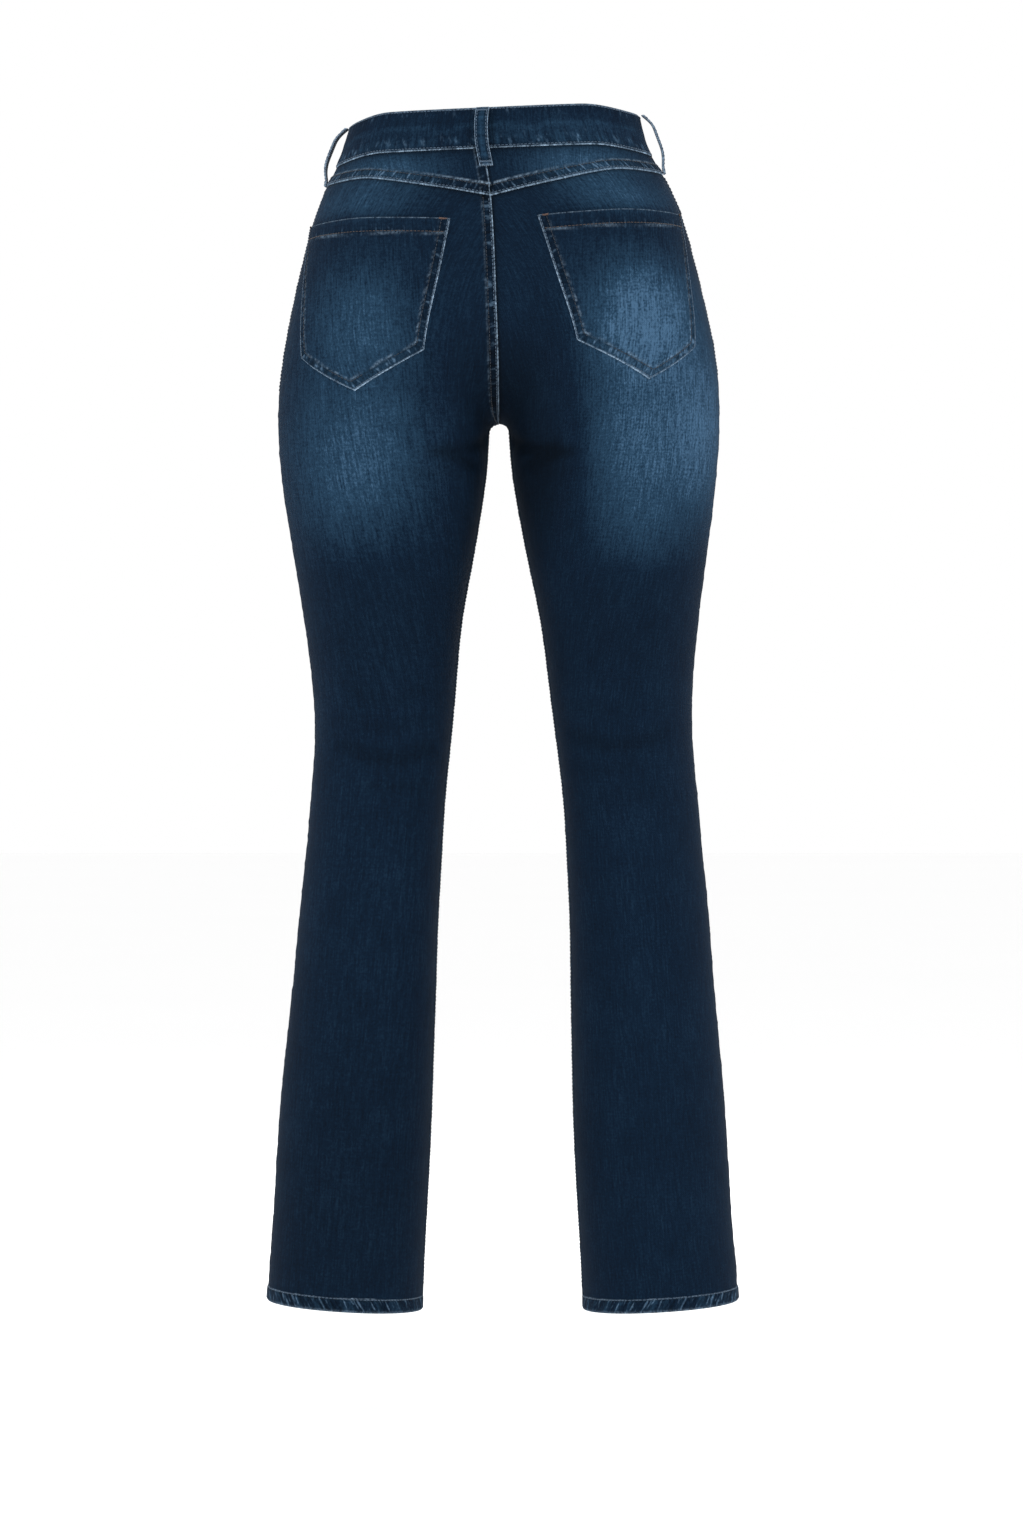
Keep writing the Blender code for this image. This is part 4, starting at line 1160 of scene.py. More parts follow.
@dataclass
class BeltLoop:
    """A folded strip, tacked above the band and below it."""

    name: str
    quarter: float
    bulge: float = LOOP_BULGE_ASIDE
    width: float = 12 * MM
    thick: float = 2.2 * MM

    def cloth(self) -> Cloth:
        """The strip with its folded edges and ends."""
        path = np.array(LOOP_PATH)[::-1] * MM
        z = np.linspace(path[0, 0], path[-1, 0], 46)
        off = Curve(LOOP_PATH, 1)(z)
        z, off = z[:, None], off[:, None] * self.bulge
        beside = self.width / 2 / SKIN.lengths(BAND_SEAM, BACK)[1][-1]
        centre, side = SKIN.around(self.quarter + beside * np.array([-1, 0, 1]), z)
        line = SKIN.worn(centre, off + 0 * side, side)
        above = SKIN.worn(centre, off + MM + 0 * side, side)
        middle = line[:, 1]
        away = unit(above[:, 1] - middle)
        beside_way = unit(line[:, 2] - line[:, 0])
        share = np.array([-1, -0.94, -0.84, -0.68, -0.5, -0.25, 0, 0.25, 0.5, 0.68, 0.84, 0.94, 1])
        flat = middle[:, None] + beside_way[:, None] * (share * self.width / 2)[None, :, None]
        along = run_along(middle)[:, None] + 0 * share
        from_end = np.minimum(along, along[-1:] - along)
        edge = (1 - ease((1 - np.abs(share)) / 0.13)) * 0.75 * MM
        groove = 0.3 * MM * bell(np.abs(share) - 0.66, 0.10)
        waves = Ripple(8 + int(10 * self.quarter), (5, 7, 11))(along)
        fold = 0.5 * MM * ease(1 - from_end / (7 * MM)) - 0.35 * MM * bell(from_end - 5 * MM, MM)
        height = self.thick - edge - groove + 0.12 * MM * waves * (1 - np.abs(share)) + fold
        outer = flat + away[:, None] * height[..., None]
        inner = flat + away[:, None] * edge[None, :, None] * 0.6
        fade = 0.30 * (1 - np.abs(share)) + 0.12 * waves + 0 * along + 0.02
        dye = Dye(fade, 0.60 * bell(np.abs(share) - 0.97, 0.06) * (0.85 + 0.25 * waves), 0 * along)
        dye.worn = dye.worn + 0.30 * bell(from_end, MM)
        # Painted shade in the grooves along both stitch rows and in the fold near each end
        dye.deep = dye.deep + 0.8 * bell(np.abs(share) - 0.62, 0.12) + 0.5 * bell(from_end - 5 * MM, 1.2 * MM)
        weave = np.stack([share * self.width / 2 + 0 * along, along, 0 * along + self.quarter], -1)
        return Cloth(f"{self.name}_cloth", outer, inner, weave, dye)


@dataclass
class Hem:
    """The turned hem of one leg, roped along its fold."""

    side: Side
    proud: float = 1.0 * MM
    thick: float = 3.2 * MM
    columns: int = 190

    def cloth(self) -> Cloth:
        """The hem as a ring."""
        share = np.array([0, 0.05, 0.12, 0.2, 0.3, 0.42, 0.55, 0.68, 0.8, 0.89, 0.95, 1])[::-1]
        z = (HEM_SEAM + 0.6 * MM + (HEM_EDGE - HEM_SEAM - 0.6 * MM) * share)[:, None]
        half = np.linspace(0, 1, self.columns // 2 + 1)
        rows = []
        for face in (BACK, FRONT):
            rows.append(SKIN.lay(SKIN.inseam(z + 0 * half[:1]), z + 0 * half, half + 0 * z, face))
        grid = np.concatenate([rows[0][:, :-1], rows[1][:, :0:-1]], axis=1)
        along = run_along(grid[-1])[None, :] + 0 * z
        down = share[:, None] * (HEM_SEAM - HEM_EDGE) + 0 * along
        up = (1 - share[:, None]) * (HEM_SEAM - HEM_EDGE) + 0 * along
        ripple = Ripple(23 + int(self.side), (8, 11, 15, 24, 41))
        waves = ripple(along + 0.5 * down)
        body = ease(down / (2.5 * MM)) * ease(up / (1.6 * MM) + 0.15)
        groove = bell(down - 1.6 * MM, 0.7 * MM)
        tucked = 0.5 * MM * (1 - ease(down / (1.2 * MM)))
        height = self.proud * body - 0.35 * MM * groove + 0.40 * MM * waves * body - tucked
        outer = SKIN.worn(grid, height, self.side)
        inner = SKIN.worn(grid, self.proud - self.thick + 0.5 * MM * (1 - body), self.side)
        dye = Dye.of(outer, SKIN.outward(grid) * [int(self.side), 1, 1])
        dye.fade += 0.26 * body * ease(0.35 + 0.7 * waves)
        dye.worn += 0.34 * bell(up, 1.3 * MM) * (0.75 + 0.35 * waves)
        dye.worn += 0.30 * bell(down - 0.8 * MM, 0.7 * MM) * (0.7 + 0.4 * ripple(along * 0.6))
        # The turned band is painted a little darker, with painted shade in the stitch row's groove
        dye.deep += 0.15 * body + 0.5 * bell(down - 1.8 * MM, 0.8 * MM)
        dye.pucker(along + 0.6 * down, down, body)
        weave = np.stack([along, z + 0 * along, 0 * along + 9.1 + int(self.side)], -1)
        self.down = down
        return Cloth(f"hem_{self.side.word}_cloth", outer, inner, weave, dye, ring=True)


FLY_WIDTH = 38 * MM
FLY_END = -196 * MM


@dataclass
class Fly:
    """The fly on the wearer's left front, folded along the centre and sewn in a long hook."""

    thick: float = 1.2 * MM

    def cloth(self) -> Cloth:
        """The fly, rounded to the centre at its foot."""
        bend = np.linspace(0, math.radians(72), 22)
        bottom = FLY_END + FLY_WIDTH
        straight = np.linspace(BAND_SEAM, bottom, 34)[:-1]
        z = np.concatenate([straight, bottom - FLY_WIDTH * np.sin(bend)])[::-1]
        width = np.concatenate([np.full(len(straight), FLY_WIDTH), FLY_WIDTH * np.cos(bend)])[::-1]
        share = np.array([0, 0.015, 0.03, 0.06, 0.1, 0.17, 0.25, 0.4, 0.55, 0.7, 0.8, 0.88, 0.94, 0.98, 1])
        off = share * width[:, None]
        grid = SKIN.level(z[:, None], SKIN.share_at(off, z[:, None], FRONT), FRONT)
        grid = reach_over(grid, 0.2 * MM)
        self.from_edge = width[:, None] - off
        ripple = Ripple(66, (7, 9, 14))
        along = z[:, None] + 0 * off
        fold = 1 - ease(off / (1.2 * MM))
        free = ease(self.from_edge / (1.5 * MM))
        grooves = bell(self.from_edge - 2.2 * MM, 0.6 * MM) + bell(self.from_edge - 8 * MM, 0.6 * MM)
        height = LAY_GAP + self.thick * free - 1.1 * MM * fold - 0.25 * MM * grooves
        height += SKIN.creases(grid, LEFT) + 0.22 * MM * ripple(along) * bell(self.from_edge - 5 * MM, 3 * MM)
        outer = SKIN.worn(grid, height, LEFT)
        inner = SKIN.worn(grid, np.minimum(height - 0.3 * MM, 0.1 * MM + 0 * off), LEFT)
        dye = Dye.of(outer, SKIN.outward(grid))
        dye.worn += 0.5 * bell(off - 0.4 * MM, 0.8 * MM) + 0.25 * bell(self.from_edge, 0.7 * MM)
        dye.pucker(along, self.from_edge, 0.9 * bell(self.from_edge - 5 * MM, 4 * MM))
        # Painted shade in the grooves of both stitch rows
        dye.deep += 0.5 * grooves
        weave = np.stack([off, along, 0 * off + 5.5], -1)
        return Cloth("fly_flap_cloth", outer, inner, weave, dye)


@dataclass
class PocketFacing:
    """The cloth that shows inside the mouth of a front pocket."""

    side: Side

    def cloth(self) -> Cloth:
        """The facing, sunk behind the mouth."""
        start = SKIN.share_at(np.array([MOUTH_AT_BAND]), np.array([BAND_SEAM]), FRONT)[0]
        across = np.linspace(start - 0.1, 1, 30)
        z = np.linspace(-94 * MM, BAND_SEAM, 26)[:, None]
        grid = SKIN.level(z, across, FRONT)
        nearness = np.hypot((1 - across) / (1 - start), (z - BAND_SEAM) / (MOUTH_AT_SIDE - BAND_SEAM))
        sunk = -MOUTH_INSET * ease((nearness - 0.3) / 0.45)
        outer = SKIN.worn(grid, sunk, self.side)
        inner = SKIN.worn(grid, sunk - DENIM, self.side)
        run = run_along(grid)
        dye = Dye.of(outer, SKIN.outward(grid) * [int(self.side), 1, 1])
        # Painted shade where the facing runs under the mouth's edge
        dye.deep += 0.7 * bell(1 - nearness, 0.16)
        SideSeam().paint(dye, run[:, -1:] - run, z + 0 * run, Ripple(3, (9, 14)))
        weave = np.stack([run, z + 0 * run, 0 * run + 3.3], -1)
        return Cloth(f"pocket_facing_{self.side.word}_cloth", outer, inner, weave, dye)


# Sewing


@dataclass(frozen=True)
class Thread:
    """A sewing thread: its look, and the length and gap of its stitches."""

    name: str
    colour: str
    radius: float = 0.30 * MM
    stitch: float = 2.7 * MM
    gap: float = 0.7 * MM


NAVY_THREAD = Thread("navy_thread", "#12202f")
BLUE_THREAD = Thread("worn_blue_thread", "#3f5971")
BROWN_THREAD = Thread("brown_thread", "#3a2d27")
COPPER_THREAD = Thread("copper_thread", "#543a2e", radius=0.33 * MM)


class Sewing:
    """Collects stitches of one thread and makes them into one mesh."""

    SIDES = 5
    RINGS = ((-0.5, -0.30), (-0.36, 0.16), (0.0, 0.34), (0.36, 0.16), (0.5, -0.30))

    def __init__(self, name: str, thread: Thread) -> None:
        """Starts with no stitch.

        Args:
            name: the object's name.
            thread: what it is sewn with.
        """
        self.name = name
        self.thread = thread
        self.starts: list[Array] = []
        self.ends: list[Array] = []
        self.normals: list[Array] = []

    def add(self, starts: Array, ends: Array, normals: Array) -> None:
        """Adds stitches from starts to ends, lying on cloth that faces along normals."""
        self.starts.append(starts)
        self.ends.append(ends)
        self.normals.append(normals)

    def sew(self, line: Array, normals: Array) -> None:
        """Sews along a line of points, with the thread's own stitch length."""
        run = run_along(line)
        pitch = self.thread.stitch + self.thread.gap
        count = int(run[-1] / pitch)
        if count < 1:
            return
        first = np.arange(count) * pitch + (run[-1] - count * pitch) / 2

        def at(values: Array, place: Array) -> Array:
            return np.stack([np.interp(place, run, values[:, k]) for k in range(3)], -1)

        self.add(at(line, first), at(line, first + self.thread.stitch), unit(at(normals, first)))

    def tack(self, middle: Array, way: Array, normal: Array, length: float, height: float) -> None:
        """A bar tack: a close row of short threads.

        Args:
            middle: its middle.
            way: the direction it runs in.
            normal: which way the cloth faces.
            length: how long the bar is.
            height: how long its threads are.
        """
        way = unit(way - (way @ normal) * normal)
        up = np.cross(normal, way)
        count = int(length / (0.55 * MM))
        place = (np.arange(count) - (count - 1) / 2)[:, None] * 0.55 * MM
        centre = middle + way * place
        slant = way * 0.25 * MM
        wide = up * height / 2
        self.add(centre - wide - slant, centre + wide + slant, np.tile(normal, (count, 1)))

    def build(self, material: bpy.types.Material, slot: str) -> bpy.types.Object:
        """Makes all stitches as one object."""
        starts, ends, normals = (np.concatenate(part) for part in (self.starts, self.ends, self.normals))
        middle = (starts + ends) / 2
        way = ends - starts
        across = unit(np.cross(way, normals))
        turn = np.arange(self.SIDES) / self.SIDES * 2 * math.pi
        radius = self.thread.radius
        rings = []
        for along, high in self.RINGS:
            ring = middle + way * along + normals * high * MM
            size = radius * (0.55 if abs(along) == 0.5 else 1.0)
            spoke = across[:, None] * np.cos(turn)[:, None] + normals[:, None] * np.sin(turn)[:, None]
            rings.append(ring[:, None] + spoke * size)
        points = np.stack(rings, 1)
        count, levels, sides = points.shape[:3]
        index = np.arange(count * levels * sides).reshape(count, levels, sides)
        beside = np.roll(index, -1, axis=2)
        squares = np.stack([index[:, :-1], beside[:, :-1], beside[:, 1:], index[:, 1:]], -1)
        mesh = new_mesh(self.name, points.reshape(-1, 3), squares.reshape(-1, 4))
        piece = add_piece(self.name, mesh, material)
        log.info("%s: %d stitches", self.name, count)
        return piece


def column_line(cloth: Cloth, off: Array, distance: float, rows: slice) -> tuple[Array, Array]:
    """The line that keeps a distance from the side where off starts, along some rows."""
    index = np.arange(len(off))[rows]
    column = [np.interp(distance, off[row], np.arange(off.shape[1])) for row in index]
    return cloth.trace(index, np.array(column))


def row_line(cloth: Cloth, off: Array, distance: float) -> tuple[Array, Array]:
    """The line that keeps a distance from the row where off starts, along all columns."""
    columns = np.arange(off.shape[1])
    row = [np.interp(distance, off[:, column], np.arange(len(off))) for column in columns]
    return cloth.trace(np.array(row), columns)


BUTTON_FROM_CENTRE = 16 * MM
BUTTON_Z = -16 * MM


@dataclass
class Button:
    """A turned metal button with a domed middle, a milled ring and a rolled rim."""

    # Radius and height of its profile (mm), from the middle to the foot of the rim
    PROFILE = (
        (0.0, 2.55),
        (1.6, 2.5),
        (2.8, 2.3),
        (3.5, 1.9),
        (4.0, 1.75),
        (4.8, 1.8),
        (5.6, 1.75),
        (6.1, 1.9),
        (6.6, 2.5),
        (7.2, 2.85),
        (7.8, 2.75),
        (8.3, 2.3),
        (8.5, 1.6),
        (8.5, 0.6),
        (8.2, 0.0),
    )
    TEETH = 36
    TEETH_FROM = 4.0
    TEETH_TO = 5.7
    steps: int = 144

    def build(self, material: bpy.types.Material) -> bpy.types.Object:
        """Turns the profile and sets it on the band."""
        across = SKIN.share_at(np.array([BUTTON_FROM_CENTRE]), np.array([BUTTON_Z]), FRONT)[0]
        centre, side = SKIN.around(np.array([2 - across]), BUTTON_Z)
        seat = SKIN.worn(centre, BAND_PROUD + LAY_GAP, side)[0]
        away = SKIN.worn(centre, BAND_PROUD + LAY_GAP + MM, side)[0] - seat
        angle = np.arange(self.steps) / self.steps * 2 * math.pi
        rings = []
        for radius, height in self.PROFILE:
            milled = 0.14 * (self.TEETH_FROM <= radius <= self.TEETH_TO)
            rise = height + milled * np.cos(self.TEETH * angle)
            rings.append(np.stack([radius * np.cos(angle), radius * np.sin(angle), rise], -1))
        points = np.array(rings) * MM
        index = np.arange(points.shape[0] * self.steps).reshape(-1, self.steps)
        beside = np.roll(index, -1, axis=1)
        squares = np.stack([index[:-1], index[1:], beside[1:], beside[:-1]], -1)
        mesh = new_mesh("waist_button_metal", points.reshape(-1, 3), squares.reshape(-1, 4))
        shape = bmesh.new()
        shape.from_mesh(mesh)
        bmesh.ops.remove_doubles(shape, verts=shape.verts, dist=0.001 * MM)
        bmesh.ops.holes_fill(shape, edges=shape.edges)
        bmesh.ops.recalc_face_normals(shape, faces=shape.faces)
        turn = Vector(away).to_track_quat("Z", "Y").to_matrix().to_4x4()
        shape.transform(Matrix.Translation(Vector(seat)) @ turn)
        shape.to_mesh(mesh)
        shape.free()
        piece = add_piece("waist_button_metal", mesh, material)
        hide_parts("waist_button")
        log.info("button: %d triangles", len(mesh.loop_triangles) or len(mesh.polygons))
        return piece


# Materials


def linear(code: str) -> tuple[float, float, float, float]:
    """The linear colour of an sRGB hex code."""
    shares = [int(code[i : i + 2], 16) / 255 for i in (1, 3, 5)]
    return (*(s / 12.92 if s <= 0.04045 else ((s + 0.055) / 1.055) ** 2.4 for s in shares), 1.0)


def add_node(tree: bpy.types.NodeTree, kind: str, inputs: dict | None = None, **settings) -> bpy.types.Node:
    """Adds a node.

    Args:
        tree: where it goes.
        kind: its type.
        inputs: values for its sockets, or the sockets that are linked to them.
        settings: its own properties.

    Returns:
        The node.
    """
    node = tree.nodes.new(kind)
    for key, value in settings.items():
        setattr(node, key, value)
    for key, value in (inputs or {}).items():
        if isinstance(value, bpy.types.NodeSocket):
            tree.links.new(value, node.inputs[key])
        else:
            node.inputs[key].default_value = value
    return node


def calc(tree: bpy.types.NodeTree, operation: str, *values, clamp: bool = False) -> bpy.types.NodeSocket:
    """The result of a sum in nodes, of numbers or sockets."""
    inputs = dict(enumerate(values))
    return add_node(tree, "ShaderNodeMath", inputs, operation=operation, use_clamp=clamp).outputs[0]


def blend(tree: bpy.types.NodeTree, share, first, second) -> bpy.types.NodeSocket:
    """One colour turning into another as share goes from 0 to 1."""
    inputs = {0: share, 6: first, 7: second}
    return add_node(tree, "ShaderNodeMix", inputs, data_type="RGBA").outputs[2]


def noise(tree: bpy.types.NodeTree, place, scale: tuple[float, float, float], detail: float = 2.0):
    """Noise about 0, stretched by a scale per metre along the cloth's own directions."""
    moved = add_node(tree, "ShaderNodeMapping", {"Vector": place, "Scale": scale}).outputs[0]
    inputs = {"Vector": moved, "Scale": 1.0, "Detail": detail}
    value = add_node(tree, "ShaderNodeTexNoise", inputs, noise_dimensions="3D").outputs[0]
    return calc(tree, "SUBTRACT", value, 0.5)


def new_material(name: str) -> tuple[bpy.types.Material, bpy.types.NodeTree, bpy.types.Node]:
    """A material with its tree and its Principled shader."""
    material = bpy.data.materials.new(name)
    material.use_nodes = True
    tree = material.node_tree
    return material, tree, tree.nodes["Principled BSDF"]


@dataclass(frozen=True)
class Denim:
    """Stretch denim: dark indigo warp over a pale weft, washed down to blue where it fades."""

    name: str = "indigo_denim"
    # Sorted from unwashed to rubbed bare, so a fade runs through the dye's real colours
    raw: str = "#05101d"
    body: str = "#071727"
    washed: str = "#1d3549"
    faded: str = "#3a566f"
    bare: str = "#93abc0"
    # The near-black of painted shade, darker than any of the dye
    hollow: str = "#010408"
    # The pale weft is what the inside of the garment shows
    weft: str = "#8796a6"
    # Real twill lines are 0.6 mm apart: they are drawn at 1.3 mm, or they would flicker at this size
    twill: float = 1.3 * MM
    # Puckers stand about 3 mm apart and run 12 mm across the seam that draws them in
    gather: float = 2.9 * MM
    gather_run: float = 12 * MM

    def build(self) -> bpy.types.Material:
        """Makes the material."""
        material, tree, shader = new_material(self.name)
        weave, sewn = (
            add_node(tree, "ShaderNodeAttribute", attribute_name=key).outputs["Vector"] for key in ("weave", "sewn")
        )
        fade, worn, deep, inside = (
            add_node(tree, "ShaderNodeAttribute", attribute_name=key).outputs["Fac"]
            for key in ("fade", "worn", "deep", "inside")
        )
        # Diagonal lines of the twill, whose light side catches the eye as a fine slant
        lines = {"Vector": weave, "Scale": 0.444 / self.twill, "Distortion": 0.6, "Detail": 1.0}
        twill = add_node(tree, "ShaderNodeTexWave", lines, bands_direction="DIAGONAL").outputs["Fac"]
        # Uneven warp yarns: thin streaks down the cloth, strongest where it is washed
        slub = noise(tree, weave, (720, 52, 1), 3)
        # Thicker weft yarns, much fainter, across it
        pick = noise(tree, weave, (60, 700, 1), 2)
        # The salt-and-pepper grain that makes denim look dry
        grain = noise(tree, weave, (560, 480, 1), 3)
        # The wash takes the dye off in soft clouds
        cloud = noise(tree, weave, (30, 18, 1), 4)
        # Along a seam the stitches gather the cloth: its ridges lose their dye, and its hollows keep it and are
        # painted darker still, as shade
        gathers = noise(tree, sewn, (1 / self.gather, 1 / self.gather_run, 0), 2)
        amount = add_node(tree, "ShaderNodeSeparateXYZ", {0: sewn}).outputs[2]
        ridge = calc(tree, "MULTIPLY", calc(tree, "MULTIPLY_ADD", gathers, 7.5, -0.40, clamp=True), amount)
        hollow = calc(tree, "MULTIPLY", calc(tree, "MULTIPLY_ADD", gathers, -7.0, -0.1, clamp=True), amount)
        lively = calc(tree, "MULTIPLY_ADD", fade, 1.2, 0.34)
        yarn = calc(tree, "MULTIPLY_ADD", pick, 0.3, calc(tree, "MULTIPLY_ADD", grain, 1.0, slub))
        tone = calc(tree, "MULTIPLY_ADD", yarn, lively, calc(tree, "MULTIPLY_ADD", cloud, 0.16, fade))
        tone = calc(tree, "MULTIPLY_ADD", twill, 0.03, tone)
        tone = calc(tree, "MULTIPLY_ADD", ridge, 0.50, tone)
        tone = calc(tree, "ADD", tone, 0.12, clamp=True)
        ramp = add_node(tree, "ShaderNodeValToRGB", {0: tone})
        stops = ((0.0, self.raw), (0.15, self.body), (0.60, self.washed), (1.0, self.faded))
        for _ in stops[2:]:
            ramp.color_ramp.elements.new(0.5)
        for element, (place, code) in zip(ramp.color_ramp.elements, stops):
            element.position = place
            element.color = linear(code)
        # Folded edges and ridges rubbed to bare yarn, in specks rather than a painted line
        speckled = calc(tree, "MULTIPLY_ADD", grain, 4.0, 0.9)
        bared = calc(tree, "MULTIPLY_ADD", ridge, 0.10, worn)
        rubbed = calc(tree, "MULTIPLY", bared, speckled, clamp=True)
        # Painted shade: the pucker hollows and the deep marks are blended towards the near-black
        shade = calc(tree, "MULTIPLY_ADD", hollow, 0.55, deep)
        shade = calc(tree, "MULTIPLY", shade, 0.72, clamp=True)
        colour = blend(tree, shade, ramp.outputs[0], linear(self.hollow))
        colour = blend(tree, rubbed, colour, linear(self.bare))
        wrong_side = blend(tree, twill, linear(self.weft), linear(self.body))
        colour = blend(tree, calc(tree, "MULTIPLY", inside, 0.8), colour, wrong_side)
        tree.links.new(colour, shader.inputs["Base Color"])
        # Dry cloth, a little smoother where it is rubbed
        rough = calc(tree, "MULTIPLY_ADD", rubbed, -0.10, 0.92)
        tree.links.new(rough, shader.inputs["Roughness"])
        shader.inputs["Specular IOR Level"].default_value = 0.06
        # Fine nap: cloth seen edge-on is paler than cloth seen square
        shader.inputs["Sheen Weight"].default_value = 0.02
        shader.inputs["Sheen Roughness"].default_value = 0.4
        shader.inputs["Sheen Tint"].default_value = linear("#6f9cc8")
        height = calc(tree, "MULTIPLY_ADD", twill, 0.5, yarn)
        height = calc(tree, "MULTIPLY_ADD", calc(tree, "MULTIPLY", gathers, amount), 3.0, height)
        bump = {"Height": height, "Distance": 0.22 * MM, "Strength": 0.8}
        tree.links.new(add_node(tree, "ShaderNodeBump", bump).outputs[0], shader.inputs["Normal"])
        return material


@dataclass(frozen=True)
class ThreadFinish:
    """Spun sewing thread, matt, darker and paler at random along it."""

    thread: Thread
    ply: float = 0.7 * MM

    def build(self) -> bpy.types.Material:
        """Makes the material."""
        material, tree, shader = new_material(self.thread.name)
        place = add_node(tree, "ShaderNodeTexCoord").outputs["Object"]
        uneven = noise(tree, place, (90, 90, 90), 3)
        # Worn thread varies from stitch to stitch, so a row looks sewn and not drawn
        fine = noise(tree, place, (700, 700, 700), 2)
        share = calc(tree, "MULTIPLY_ADD", calc(tree, "ADD", uneven, fine), 1.1, 0.5, clamp=True)
        pale = linear(self.thread.colour)
        dark = (*(channel * 0.45 for channel in pale[:3]), 1.0)
        tree.links.new(blend(tree, share, dark, pale), shader.inputs["Base Color"])
        shader.inputs["Roughness"].default_value = 0.75
        shader.inputs["Sheen Weight"].default_value = 0.2
        twist = {"Vector": place, "Scale": 0.314 / self.ply, "Distortion": 0.4}
        plies = add_node(tree, "ShaderNodeTexWave", twist, bands_direction="DIAGONAL").outputs["Fac"]
        bump = {"Height": plies, "Distance": 0.1 * MM, "Strength": 0.6}
        tree.links.new(add_node(tree, "ShaderNodeBump", bump).outputs[0], shader.inputs["Normal"])
        return material


@dataclass(frozen=True)
class AntiqueCopper:
    """Copper plate darkened in its hollows and rubbed bright on its rims."""

    name: str = "antique_copper"
    bright: str = "#b0785a"
    tarnished: str = "#3b2a22"

    def build(self) -> bpy.types.Material:
        """Makes the material."""
        material, tree, shader = new_material(self.name)
        place = add_node(tree, "ShaderNodeTexCoord").outputs["Object"]
        # Rims are convex and stay bright, and the milled ring keeps its dark patina
        rim = add_node(tree, "ShaderNodeNewGeometry").outputs["Pointiness"]
        rubbed = calc(tree, "MULTIPLY_ADD", rim, 6.0, -2.55, clamp=True)
        stain = noise(tree, place, (420, 420, 420), 4)
        share = calc(tree, "MULTIPLY_ADD", stain, 0.9, rubbed, clamp=True)
        colour = blend(tree, share, linear(self.tarnished), linear(self.bright))
        tree.links.new(colour, shader.inputs["Base Color"])
        shader.inputs["Metallic"].default_value = 1.0
        rough = calc(tree, "MULTIPLY_ADD", share, -0.22, 0.55)
        tree.links.new(rough, shader.inputs["Roughness"])
        scratches = noise(tree, place, (900, 900, 900), 3)
        bump = {"Height": scratches, "Distance": 0.05 * MM, "Strength": 0.5}
        tree.links.new(add_node(tree, "ShaderNodeBump", bump).outputs[0], shader.inputs["Normal"])
        return material


# Putting the pair together


